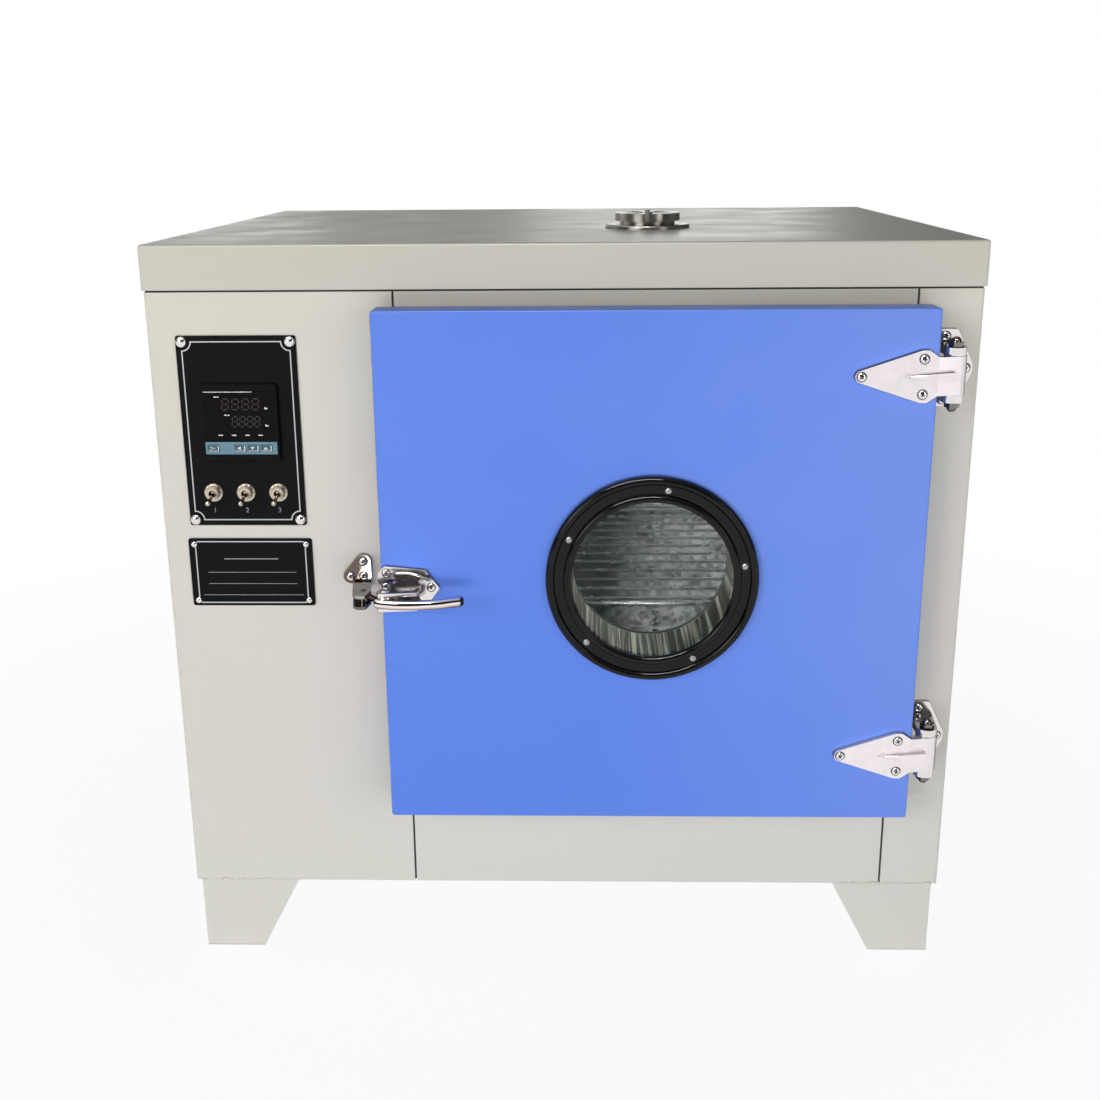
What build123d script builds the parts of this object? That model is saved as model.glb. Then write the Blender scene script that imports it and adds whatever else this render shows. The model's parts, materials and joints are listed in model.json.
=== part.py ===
from build123d import *
import math
import os

# Bench-top forced-air drying oven.  Sizes in mm, +Z up, +X to the right and -Y to the front.
# Inside this file y = 0 is the outer face of the cabinet front; save() moves every piece so
# that the origin lies on the floor in the middle of the whole footprint.

# ------------------------------------------------------------------ cabinet and chamber
CHAMBER_WIDTH = 450.0
CHAMBER_DEPTH = 450.0
CHAMBER_HEIGHT = 450.0
FRAME_MARGIN = 10.8        # front frame left and right of the chamber mouth
CONTROL_WIDTH = 226.7      # control compartment, from the left side to its seam
RIGHT_WIDTH = 58.7         # insulated wall right of the other seam
BASE_SPACE = 117.0         # below the chamber mouth
ROOF_SPACE = 32.0          # above the chamber mouth, up to the cap
REAR_SPACE = 167.0         # behind the chamber
HEATER_WELL = 45.0         # depth of the heater space below the chamber floor
CAP_HEIGHT = 40.5
CAP_SIDE_LIP = 1.5
CAP_FRONT_LIP = 2.0
FOOT_HEIGHT = 77.0
SHEET = 1.2                # outer steel sheet
LINER_SHEET = 1.0          # chamber sheet
BEND = 3.0                 # outer radius of the folded edges
FLANGE = 15.0              # inward flanges of the outer sheets
REAR_FLANGE = 25.0
SEAM = 2.0                 # dark joints between the outer sheets
SEAL_SINK = 1.5            # the seals lie this far below the sheets beside them
SEAL_DEPTH = 12.0
PAN_EDGE = 12.0            # rim of the bottom pan
LOUVRE_COUNT = 8
LOUVRE_PITCH = 14.0
LOUVRE_HEIGHT = 4.0
LOUVRE_LENGTH = 90.0

# ------------------------------------------------------------------ feet
FOOT_TOP = 100.0
FOOT_BOTTOM = 60.0
FOOT_INSET = 5.9
FOOT_SHEET = 3.0

# ------------------------------------------------------------------ door
DOOR_STAND = 48.0          # door face in front of the cabinet face
DOOR_THICKNESS = 30.0
DOOR_LAP_X = 23.2          # door beyond the chamber mouth, each side
DOOR_LAP_Z = 18.4
DOOR_OFFSET = -1.9         # the door hangs this far towards its latch
PLUG_REACH = 8.0           # inner panel into the chamber mouth
PLUG_CLEARANCE = 5.0
GASKET_WIDTH = 7.0
GASKET_OVERLAP = 4.0       # gasket centre line outside the chamber mouth
GASKET_GAP = 0.3
DOOR_WOOL_INSET = 10.0

# ------------------------------------------------------------------ window
WINDOW_DX = 0.9            # window centre from the door centre
WINDOW_DZ = -1.3
BEZEL_RADIUS = 96.6
GLASS_RADIUS = 74.0        # clear opening
PANE_LAP = 8.0             # pane edge held under the bezel
PANE_THICKNESS = 5.0
BEZEL_HEIGHT = 10.0
BARREL_WALL = 1.5
INNER_RING_HEIGHT = 7.0
INNER_PANE = 4.0
INNER_RING_INSET = 4.0     # inner ring inside the bezel's radius
INNER_RING_CHAMFER = 1.5
BEZEL_GROOVE = 5.5         # groove floor in front of the door face
WINDOW_SCREWS = 5
WINDOW_SCREW_ANGLE = 9.0
WINDOW_SCREW_RADIUS = 85.0
WINDOW_HEAD_RADIUS = 3.0
WINDOW_HEAD_HEIGHT = 1.8

# ------------------------------------------------------------------ hinges
HINGE_SPACING = 360.5
HINGE_DZ = 4.4             # middle of the two hinges above the door centre
PIN_OUT = 15.2             # pin axis beyond the door edge
PIN_BACK = 8.0             # pin axis behind the door face
PIN_RADIUS = 4.0
PIN_CLEARANCE = 0.05
BARREL_RADIUS = 10.0
BARREL_HALF = 17.0         # half height of the leaf barrel
LEAF_THICKNESS = 5.0
LEAF_REACH = 83.0          # pin axis to the tip screw
LEAF_TIP_RADIUS = 5.5
LEAF_HALF = 23.0           # half height at the two inner screws
LEAF_SCREW_OUT = 29.5
LEAF_SCREW_DZ = 15.5
RIB_LENGTH = 42.0          # start of the rib from the pin axis
RIB_HEIGHT = 4.5           # rib in front of the plate at the barrel
RIB_HALF = 9.3             # half height of the rib at the barrel
RIB_SINK = 0.5             # the rib's roots in the plate
RIB_START_HEIGHT = 1.3     # above its root, where the rib starts
RIB_START_HALF = 3.0
RIB_ROUND = 0.9
DIMPLE_RADIUS = 1.3
DIMPLE_OUT = 4.4           # dimple beyond the start of the rib
BRACKET_HALF = 35.0
BRACKET_THICKNESS = 4.0
BRACKET_TIP = 25.5         # pointed end right of the pin axis
BRACKET_LEFT = 12.5
BRACKET_SHOULDER = 10.5
BRACKET_NOSE = 4.0         # half height of the pointed end
BRACKET_SCREW_EDGE = 6.2
LUG_THICKNESS = 7.0
LUG_GAP = 0.3
NUT_FLATS = 12.0
NUT_HEIGHT = 4.5
DOME_RADIUS = 4.6

# ------------------------------------------------------------------ latch
LATCH_DZ = -11.0           # lever plane from the door centre
PIVOT_IN = 8.1             # lever pivot inside the door edge
PIVOT_OUT = 34.0           # lever pivot in front of the door face
LATCH_PLATE = 3.5
LEVER_HALF = 4.0           # half height of the lever bar
LEVER_BAR = 8.0            # bar depth, front to back
EYE_RADIUS = 7.5
EYE_HALF = 5.0
EAR_GAP = 0.2
EAR_THICKNESS = 3.3
FINGER_HALF = 3.4
FINGER_TIP = 1.8
FINGER_REACH = 6.8         # finger tip behind the roller axis
FINGER_ROOT = 4.0
LATCH_PIN_RADIUS = 3.0
ROLLER_RADIUS = 4.5
ROLLER_GAP = 0.3
FORK_HALF = 6.5
FORK_SLOT = 3.8            # half height of the slot that the finger enters
STRIKE_PLATE = 4.0
LATCH_RIB_RADIUS = 1.2
LATCH_RIB = [(6.5, 15.8), (25.0, 14.4), (36.5, 8.6)]   # raised rib on the latch plate
NOSE_ROOT = -6.5           # top of the nose where it leaves the strike plate
ROLLER_DX = -21.0          # roller axis from the lever pivot
ROLLER_DY = 10.0
LEVER_ARC = [(-5.0, -9.0), (31.0, -13.0), (67.0, -2.5)]   # middle line of the bowed bar
STRIKE_SCREWS = [(-31.5, 12.7), (-44.0, -2.2), (-31.5, -1.7)]
STRIKE_ROUND = 7.0         # plate round each strike screw
PLATE_SCREWS = [(-2.8, 16.1), (-3.2, 3.2), (38.2, 2.3)]

# ------------------------------------------------------------------ vent
VENT_X = 1.5               # vent centre right of the chamber centre
VENT_Y = 202.7
VENT_PIPE_RADIUS = 28.0
VENT_FLANGE_RADIUS = 43.2
VENT_FLANGE_HEIGHT = 4.0
VENT_NECK_HEIGHT = 12.0
VENT_CAP_RADIUS = 33.0
VENT_WALL = 1.5
VENT_SECTORS = 4
VENT_SECTOR_ANGLE = 45.0
VENT_GAP = 0.3
VENT_HUB = 6.0
VENT_PIN = 2.5
VENT_PIN_LENGTH = 6.0
VENT_RIM = 4.5             # rotor rim below the top of the neck
VENT_TAB = 5.0
VENT_TAB_PROUD = 2.0       # finger tab above the disc

# ------------------------------------------------------------------ control panel
PLATE_WIDTH = 110.5
PLATE_HEIGHT = 179.0
PLATE_THICKNESS = 1.5
PLATE_CORNER = 2.0
PLATE_LEFT = 26.0          # plate edge from the cabinet side
PLATE_DROP = 41.0          # plate top below the cap
NAME_WIDTH = 118.0
NAME_HEIGHT = 67.0
NAME_GAP = 13.4            # between the two plates
PANEL_SCREW_RADIUS = 5.0
PANEL_SCREW_HEIGHT = 3.5
PANEL_SCREW_MARGIN = 0.5   # head to the plate edge
NAME_SCREW_SHARE = 0.6     # name-plate heads against the panel's
CONTROLLER = 72.0          # square bezel
CONTROLLER_BODY = 67.0
CONTROLLER_DEPTH = 72.0
CONTROLLER_PROUD = 5.0
CONTROLLER_CORNER = 2.5
CONTROLLER_CHAMFER = 0.8
CONTROLLER_DROP = 80.0     # its centre below the plate top
LENS_WIDTH = 66.0
LENS_HEIGHT = 48.0
LENS_DEPTH = 1.5
LENS_RAISE = 6.5
KEY_WIDTH = 10.6
KEY_HEIGHT = 6.4
KEY_PROUD = 0.9
KEY_DEPTH = 2.7
KEY_TRAVEL = 0.5
KEY_CLEARANCE = 0.2
KEY_CHAMFER = 0.4
KEY_FLOOR_GAP = 0.1
KEY_ROW = -23.5            # key centres from the controller centre
KEY_COLUMNS = {"key_set": -25.9, "key_shift": -1.1, "key_down": 11.2, "key_up": 23.5}
TOGGLE_PITCH = 30.7
TOGGLE_DROP = 147.0        # toggle centres below the plate top
TOGGLE_BUSH_RADIUS = 6.0
TOGGLE_WASHER_RADIUS = 8.6
TOGGLE_NUT_FLATS = 14.0
TOGGLE_BUSH_REACH = 7.0    # bush in front of the plate
TOGGLE_WASHER = 1.0
TOGGLE_NUT = 2.5
TOGGLE_BORE = 3.3
TOGGLE_STEM = (1.3, 1.9)   # stem radius at the ball and at the tip
SWITCH_HALF_WIDTH = 6.5
SWITCH_HALF_HEIGHT = 10.0
SWITCH_DEPTH = 22.0
TOGGLE_PIVOT = 3.0         # pivot in front of the cabinet face
TOGGLE_TILT = 13.0
TOGGLE_LENGTH = 22.0
TOGGLE_TIP = 2.6
TOGGLE_PIN_RADIUS = 1.0     # cross pin through ball and bush
TOGGLE_PIN_REACH = 4.6

# ------------------------------------------------------------------ chamber fittings
SHELF_HEIGHTS = {"lower_shelf": 166.0, "upper_shelf": 308.0}
SHELF_START = 50.0         # shelf behind the cabinet face
SHELF_REAR_GAP = 20.0      # shelf in front of the chamber's rear wall
SHELF_WIRE = 2.0           # radius of the thin wires
SHELF_FRAME = 3.0          # radius of the frame wire
SHELF_CORNER = 16.0        # bend of the frame wire at its corners
SHELF_WIRES = 12
SHELF_SIDE_GAP = 3.0
RAIL_WIDTH = 14.0
RAIL_START = 12.0
RAIL_GAP = 0.3
LINER_LIP = 8.0            # liner turned out round the mouth
INLET_COUNT = 7
INLET_PITCH = 13.0
INLET_HALF = 3.0
INLET_MARGIN = 4.0         # slots inside the wheel's eye
OUTLET_COUNT = 6
OUTLET_PITCH = 38.0
OUTLET_INSET = 22.0        # outlet columns from the duct's sides
OUTLET_HALF_WIDTH = 8.0
OUTLET_HALF_HEIGHT = 13.0
FLOOR_COLUMN_COUNT = 8
FLOOR_ROW_COUNT = 5
FLOOR_GAP = 0.5
FLOOR_SLOT_HALF = 4.0
FLOOR_SLOT_REACH = 30.0    # half length of a floor slot
HEATER_RADIUS = 5.0
HEATER_BEND = 40.0
HEATER_TAIL = 30.0         # heater ends behind the chamber
WOOL_FLOOR = 14.0          # wool above the cabinet floor
WOOL_REAR = 90.0           # wool behind the chamber
WOOL_DUCT_GAP = 8.0        # wool round the blower housing

# ------------------------------------------------------------------ blower
BLOWER_Y = 225.0
WHEEL_RADIUS = 80.0
WHEEL_WIDTH = 34.0
WHEEL_EYE = 56.0
WHEEL_BLADES = 20
WHEEL_PLATE = 1.5
DUCT_DEPTH = 54.0
DUCT_SIZE = 280.0
DUCT_FLANGE = 10.0
DUCT_FLANGE_GAP = 2.0
WHEEL_GAP = 6.0            # wheel from the chamber wall
BLADE_LEAN = 14.0          # blade tip ahead of its root
BLADE_BOW = 3.0
BLADE_TAPER = 2.0
BLADE_ROOT_GAP = 2.0
BLADE_TIP_GAP = 0.5
SHAFT_RADIUS = 4.0
SHAFT_INSET = 12.0         # shaft end inside the motor
HUB_RADIUS = 11.0
HUB_LENGTH = 18.0
HUB_GAP = 4.0              # hole in wall and wool round the hub
HOUSING_GAP = 2.0          # hole in the housing round the hub
MOTOR_RADIUS = 46.0
MOTOR_LENGTH = 96.0
MOTOR_STAND = 18.0
MOTOR_PLATE = 2.0
MOTOR_PLATE_MARGIN = 16.0  # mounting plate beyond the motor
LEG_INSET = 8.0
LEG_RADIUS = 5.0
FIN_COUNT = 5
FIN_START = 24.0
FIN_PITCH = 11.0
FIN_WIDTH = 5.0
FIN_HEIGHT = 4.0
COMPARTMENT_WALL_IN = 70.0  # compartment wall left of the chamber seam

# ------------------------------------------------------------------ rear and electrical
GLAND_RADIUS = 11.0
GLAND_BORE = 4.5
GLAND_REACH = 22.0
GLAND_WALL = 3.0
GLAND_NECK = 5.0
GLAND_NUT = 6.0
GLAND_X = 78.0             # gland from the cabinet side
GLAND_Z = 60.0             # gland above the cabinet floor
PROBE_RADIUS = 3.0
PROBE_REACH = 60.0
PROBE_Y = 62.0
PROBE_DROP = 60.0          # probe below the chamber's top
PROBE_TAIL = 20.0
PROBE_COLLAR = 8.0
RELAY_BEHIND = 140.0       # relay behind the blower axis
RELAY_LIFT = 150.0         # relay above the cabinet floor
RELAY_SIZE = 80.0
RELAY_DEPTH = 26.0
RELAY_BASE = 6.0
RELAY_SLOT_COUNT = 6
RELAY_SLOT_START = 8.0
RELAY_SLOT_PITCH = 12.0
RELAY_SLOT_WIDTH = 6.0
TERMINAL_LENGTH = 80.0
TERMINAL_REAR = 40.0       # terminals in front of the back panel
TERMINAL_LIFT = 70.0
TERMINAL_DEPTH = 18.0
TERMINAL_HEIGHT = 24.0
TERMINAL_COUNT = 7
TERMINAL_PITCH = 10.0
TERMINAL_HALF = 3.0        # half width of a terminal pocket
TERMINAL_POCKET = 6.0
TERMINAL_RIM = 4.0
REAR_SCREW_INSET = 10.0
REAR_SCREW_SHARES = (0.05, 0.5, 0.95)     # heights of the rear screws as shares of the body's
SCREW_RADIUS = 4.0
PLATE_SCREW_RADIUS = 3.6   # lower heads on the latch plate, clear of the finger
PLATE_SCREW_HEIGHT = 1.2

# ------------------------------------------------------------------ worked out from the above
BODY_WIDTH = CONTROL_WIDTH + CHAMBER_WIDTH + 2 * FRAME_MARGIN + RIGHT_WIDTH
BODY_DEPTH = CHAMBER_DEPTH + REAR_SPACE
BODY_HEIGHT = BASE_SPACE + CHAMBER_HEIGHT + ROOF_SPACE
LEFT = -BODY_WIDTH / 2
RIGHT = BODY_WIDTH / 2
FLOOR = FOOT_HEIGHT
BODY_TOP = FLOOR + BODY_HEIGHT
CAP_TOP = BODY_TOP + CAP_HEIGHT
LEFT_SEAM = LEFT + CONTROL_WIDTH
RIGHT_SEAM = RIGHT - RIGHT_WIDTH
CHAMBER_LEFT = LEFT_SEAM + FRAME_MARGIN
CHAMBER_RIGHT = CHAMBER_LEFT + CHAMBER_WIDTH
CHAMBER_X = (CHAMBER_LEFT + CHAMBER_RIGHT) / 2
CHAMBER_Z = FLOOR + BASE_SPACE
CHAMBER_TOP = CHAMBER_Z + CHAMBER_HEIGHT
CHAMBER_MID = (CHAMBER_Z + CHAMBER_TOP) / 2
WELL_Z = CHAMBER_Z - HEATER_WELL
DOOR_X = CHAMBER_X + DOOR_OFFSET
DOOR_WIDTH = CHAMBER_WIDTH + 2 * DOOR_LAP_X
DOOR_HEIGHT = CHAMBER_HEIGHT + 2 * DOOR_LAP_Z
DOOR_LEFT = DOOR_X - DOOR_WIDTH / 2
DOOR_RIGHT = DOOR_X + DOOR_WIDTH / 2
DOOR_FACE = -DOOR_STAND
DOOR_BACK = DOOR_FACE + DOOR_THICKNESS
PLUG_WIDTH = CHAMBER_WIDTH - 2 * PLUG_CLEARANCE + 2 * DOOR_OFFSET
PLUG_HEIGHT = CHAMBER_HEIGHT - 2 * PLUG_CLEARANCE
WINDOW_X = DOOR_X + WINDOW_DX
WINDOW_Z = CHAMBER_MID + WINDOW_DZ
PIN_X = DOOR_RIGHT + PIN_OUT
PIN_Y = DOOR_FACE + PIN_BACK
HINGE_HEIGHTS = [CHAMBER_MID + HINGE_DZ + side * HINGE_SPACING / 2 for side in (1, -1)]
LUG_LOW = BARREL_HALF + LUG_GAP
LUG_HIGH = LUG_LOW + LUG_THICKNESS
LATCH_Z = CHAMBER_MID + LATCH_DZ
PIVOT_X = DOOR_LEFT + PIVOT_IN
PIVOT_Y = DOOR_FACE - PIVOT_OUT
LEVER_REACH = PIVOT_OUT - LEVER_ARC[1][1] + LEVER_BAR / 2
DOOR_DY = PIVOT_OUT                      # door face from the pivot
FRONT_DY = PIVOT_OUT + DOOR_STAND        # cabinet face from the pivot
BRACKET_SCREWS = [(0.0, BRACKET_HALF - BRACKET_SCREW_EDGE), (0.0, BRACKET_SCREW_EDGE - BRACKET_HALF),
                  (BRACKET_TIP - BRACKET_SCREW_EDGE, 0.0)]
LEAF_SCREWS = [(-LEAF_REACH, 0.0), (-LEAF_SCREW_OUT, LEAF_SCREW_DZ), (-LEAF_SCREW_OUT, -LEAF_SCREW_DZ)]
VENT_AT_X = CHAMBER_X + VENT_X
DISC_Z = VENT_NECK_HEIGHT + VENT_WALL + VENT_GAP
PLATE_X = LEFT + PLATE_LEFT + PLATE_WIDTH / 2
PLATE_TOP = BODY_TOP - PLATE_DROP
PLATE_FACE = -PLATE_THICKNESS
NAME_Z = PLATE_TOP - PLATE_HEIGHT - NAME_GAP - NAME_HEIGHT / 2
CONTROLLER_Z = PLATE_TOP - CONTROLLER_DROP
CONTROLLER_FACE = PLATE_FACE - CONTROLLER_PROUD
TOGGLE_Z = PLATE_TOP - TOGGLE_DROP
TOGGLES = {"power_lever": -TOGGLE_PITCH, "heating_lever": 0.0, "blower_lever": TOGGLE_PITCH}
WALL_X = LEFT_SEAM - COMPARTMENT_WALL_IN
SHELF_DEPTH = CHAMBER_DEPTH - SHELF_START - SHELF_REAR_GAP
LINER_LEFT = CHAMBER_LEFT - LINER_SHEET
WHEEL_X = LINER_LEFT - LINER_SHEET - WHEEL_GAP
DUCT_Y = (BLOWER_Y - DUCT_SIZE / 2, BLOWER_Y + DUCT_SIZE / 2)
DUCT_Z = (CHAMBER_MID - DUCT_SIZE / 2, CHAMBER_MID + DUCT_SIZE / 2)
DUCT_X = LINER_LEFT - DUCT_DEPTH
MOTOR_FACE = WALL_X - MOTOR_STAND - MOTOR_PLATE
SHAFT_START = MOTOR_FACE - MOTOR_LENGTH + SHAFT_INSET
HEATER_Z = WELL_Z + HEATER_WELL / 2
HEATER_OFFSETS = (-CHAMBER_WIDTH / 4, CHAMBER_WIDTH / 4)
PROBE_Z = CHAMBER_TOP - PROBE_DROP
BACK_FACE = BODY_DEPTH
ORIGIN_Y = (DOOR_FACE - LEVER_REACH + BACK_FACE + GLAND_REACH) / 2

RISING = (Align.CENTER, Align.CENTER, Align.MIN)


# ------------------------------------------------------------------ helpers
def block(x, y, z):
    """Box between two corners, each argument a (low, high) pair."""
    size = Box(x[1] - x[0], y[1] - y[0], z[1] - z[0], align=(Align.MIN,) * 3)
    return Pos(x[0], y[0], z[0]) * size


def rod_x(y, z, radius, x_low, x_high):
    return Pos(x_low, y, z) * Rot(0, 90, 0) * Cylinder(radius, x_high - x_low, align=RISING)


def rod_y(x, z, radius, y_low, y_high):
    return Pos(x, y_high, z) * Rot(90, 0, 0) * Cylinder(radius, y_high - y_low, align=RISING)


def rod_z(x, y, radius, z_low, z_high):
    return Pos(x, y, z_low) * Cylinder(radius, z_high - z_low, align=RISING)


def facing(outline, y_back, thickness):
    """Extrude an (x, z) outline from y_back towards the front."""
    return extrude(Plane.XZ.offset(-y_back) * outline, thickness)


def level(outline, z_low, z_high):
    """Extrude an (x, y) outline between two heights."""
    return extrude(Pos(0, 0, z_low) * outline, z_high - z_low)


def polygon(points):
    return make_face(Polyline(*points, close=True))


def disc(x, y, radius):
    return Pos(x, y) * Circle(radius)


def hull(*circles):
    """Outline stretched round several (x, y, radius) circles."""
    return make_hull([edge for circle in circles for edge in disc(*circle).edges()])


def screw_head(x, z, y_face, radius, height=2.4):
    """Domed head standing on a face that looks to the front."""
    return Pos(x, y_face, z) * Rot(90, 0, 0) * Cone(radius, radius * 0.55, height, align=RISING)


def rounded_y(solid, radius):
    """Round the edges that run front to back."""
    return fillet(solid.edges().filter_by(Axis.Y), radius)


def save(name, *solids):
    moved = [Pos(0, -ORIGIN_Y, 0) * solid for solid in solids]
    shape = moved[0] if len(moved) == 1 else Compound(children=moved)
    export_step(shape, os.path.join("parts", name + ".step"))


# ------------------------------------------------------------------ outer sheets
def side_wrapper(x_outer, x_inner):
    """Side sheet with its front panel and its top, bottom and rear flanges."""
    low, high = sorted((x_outer, x_inner))
    side = 1 if x_outer < x_inner else -1
    depth = BODY_DEPTH - SHEET
    top = BODY_TOP - SEAM
    body = block((low, high), (0, depth), (FLOOR, top))
    front_edge = body.edges().filter_by(Axis.Z).sort_by_distance((x_outer, 0, FLOOR))[0]
    body = fillet(front_edge, BEND)
    inner = sorted((x_outer + side * SHEET, x_inner + side))
    body -= block(inner, (SHEET, depth - SHEET), (FLOOR + SHEET, top - SHEET))
    mouth = sorted((x_outer + side * FLANGE, x_inner + side))
    body -= block(mouth, (FLANGE, depth - FLANGE), (FLOOR - 1, top + 1))
    rear = sorted((x_outer + side * REAR_FLANGE, x_inner + side))
    return body - block(rear, (depth - REAR_FLANGE, depth + 1), (FLOOR - 1, top + 1))


def louvres(x_low, x_high, y_low, y_high, count, pitch, height, z_low):
    """Row of ventilation slots, one above the other."""
    slots = block((x_low, x_high), (y_low, y_high), (z_low, z_low + height))
    return [Pos(0, 0, index * pitch) * slots for index in range(count)]


def left_wrapper():
    body = side_wrapper(LEFT, LEFT_SEAM - SEAM / 2)
    half = CONTROLLER_BODY / 2
    body -= block((PLATE_X - half, PLATE_X + half), (-1, FLANGE),
                  (CONTROLLER_Z - half, CONTROLLER_Z + half))
    for offset in TOGGLES.values():
        body -= rod_y(PLATE_X + offset, TOGGLE_Z, TOGGLE_BUSH_RADIUS, -1, SHEET + 1)
    start = BODY_DEPTH / 2
    for slot in louvres(LEFT - 1, LEFT + SHEET + 1, start, start + LOUVRE_LENGTH,
                        LOUVRE_COUNT, LOUVRE_PITCH, LOUVRE_HEIGHT, FLOOR + GLAND_Z):
        body -= slot
    return body


def right_wrapper():
    return side_wrapper(RIGHT, RIGHT_SEAM + SEAM / 2)


def front_frame():
    """Pan round the chamber mouth, its edges folded back."""
    low = LEFT_SEAM + SEAM / 2
    high = RIGHT_SEAM - SEAM / 2
    top = BODY_TOP - SEAM
    pan = block((low, high), (0, FLANGE), (FLOOR, top))
    pan -= block((low + SHEET, high - SHEET), (SHEET, FLANGE + 1), (FLOOR + SHEET, top - SHEET))
    return pan - block((CHAMBER_LEFT, CHAMBER_RIGHT), (-1, FLANGE), (CHAMBER_Z, CHAMBER_TOP))


def back_panel():
    panel = block((LEFT + SHEET, RIGHT - SHEET), (BODY_DEPTH - SHEET, BODY_DEPTH),
                  (FLOOR + SHEET, BODY_TOP - SEAM - SHEET))
    x = LEFT + GLAND_X
    half = LOUVRE_LENGTH / 2
    for slot in louvres(x - half, x + half, BODY_DEPTH - SHEET - 1, BODY_DEPTH + 1,
                        LOUVRE_COUNT, LOUVRE_PITCH, LOUVRE_HEIGHT, CHAMBER_MID):
        panel -= slot
    return panel - rod_y(x, FLOOR + GLAND_Z, GLAND_RADIUS - GLAND_WALL,
                         BODY_DEPTH - GLAND_NECK, BODY_DEPTH + 1)


def top_cover():
    """Cap: one folded tray with an inward flange under its rim."""
    x_side = RIGHT + CAP_SIDE_LIP
    y_side = (-CAP_FRONT_LIP, BODY_DEPTH + CAP_FRONT_LIP)
    cap = block((-x_side, x_side), y_side, (BODY_TOP, CAP_TOP))
    cap = fillet(cap.edges().filter_by(Axis.Z) + cap.faces().sort_by(Axis.Z)[-1].edges(), BEND)
    inner_y = (y_side[0] + SHEET, y_side[1] - SHEET)
    cap -= block((-x_side + SHEET, x_side - SHEET), inner_y, (BODY_TOP + SHEET, CAP_TOP - SHEET))
    mouth_y = (y_side[0] + FLANGE, y_side[1] - FLANGE)
    cap -= block((-x_side + FLANGE, x_side - FLANGE), mouth_y, (BODY_TOP - 1, BODY_TOP + FLANGE))
    return cap - rod_z(VENT_AT_X, VENT_Y, VENT_PIPE_RADIUS, CAP_TOP - FLANGE, CAP_TOP + 1)


def seam_seals():
    """Dark strips in the three joints between the outer sheets."""
    low = BODY_TOP - SEAM
    x_side = RIGHT - SEAL_SINK
    y_side = (SEAL_SINK, BODY_DEPTH - SEAL_SINK)
    ring = block((-x_side, x_side), y_side, (low, BODY_TOP))
    ring -= block((-x_side + SEAL_DEPTH, x_side - SEAL_DEPTH),
                  (y_side[0] + SEAL_DEPTH, y_side[1] - SEAL_DEPTH), (low - 1, BODY_TOP + 1))
    strips = [block((x - SEAM / 2, x + SEAM / 2), (SEAL_SINK, SEAL_DEPTH), (FLOOR + SHEET, low))
              for x in (LEFT_SEAM, RIGHT_SEAM)]
    return [ring] + strips


def bottom_pan():
    x = (LEFT + SHEET, RIGHT - SHEET)
    y = (FLANGE, BODY_DEPTH - 2 * SHEET)
    z = FLOOR + SHEET
    pan = block(x, y, (z, z + PAN_EDGE))
    inner_y = (y[0] + SHEET, y[1] - SHEET)
    return pan - block((x[0] + SHEET, x[1] - SHEET), inner_y, (z + SHEET, z + PAN_EDGE + 1))


def foot(side_x, side_y):
    """Pressed foot: a tapered corner of three walls, open on its two inner sides."""
    def taper(shift, grow):
        bottom = Pos(shift, shift, shift) * Rectangle(FOOT_BOTTOM, FOOT_BOTTOM, align=(Align.MIN,) * 2)
        top = Pos(shift, shift, FOOT_HEIGHT + grow) * Rectangle(FOOT_TOP, FOOT_TOP,
                                                               align=(Align.MIN,) * 2)
        return loft([bottom, top])
    shape = taper(0, 0) - taper(FOOT_SHEET, FOOT_SHEET)
    corner = Pos(LEFT + FOOT_INSET, 0, 0) * shape
    if side_x > 0:
        corner = mirror(corner, Plane.YZ)
    if side_y > 0:
        middle = (BODY_DEPTH - SHEET) / 2
        corner = mirror(corner, Plane.XZ.offset(-middle))
    return corner


# ------------------------------------------------------------------ chamber and insulation
def liner_slots():
    """Air inlet over the wheel eye and an outlet column each side of it, in the left wall."""
    x = (LINER_LEFT - 1, CHAMBER_LEFT + 1)
    for index in range(INLET_COUNT):
        y = BLOWER_Y + (index - (INLET_COUNT - 1) / 2) * INLET_PITCH
        half = math.sqrt((WHEEL_EYE - INLET_MARGIN) ** 2 - (y - BLOWER_Y) ** 2)
        yield block(x, (y - INLET_HALF, y + INLET_HALF), (CHAMBER_MID - half, CHAMBER_MID + half))
    for index in range(OUTLET_COUNT):
        z = CHAMBER_MID + (index - (OUTLET_COUNT - 1) / 2) * OUTLET_PITCH
        for y in (DUCT_Y[0] + OUTLET_INSET, DUCT_Y[1] - OUTLET_INSET):
            yield block(x, (y - OUTLET_HALF_WIDTH, y + OUTLET_HALF_WIDTH),
                        (z - OUTLET_HALF_HEIGHT, z + OUTLET_HALF_HEIGHT))


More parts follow.
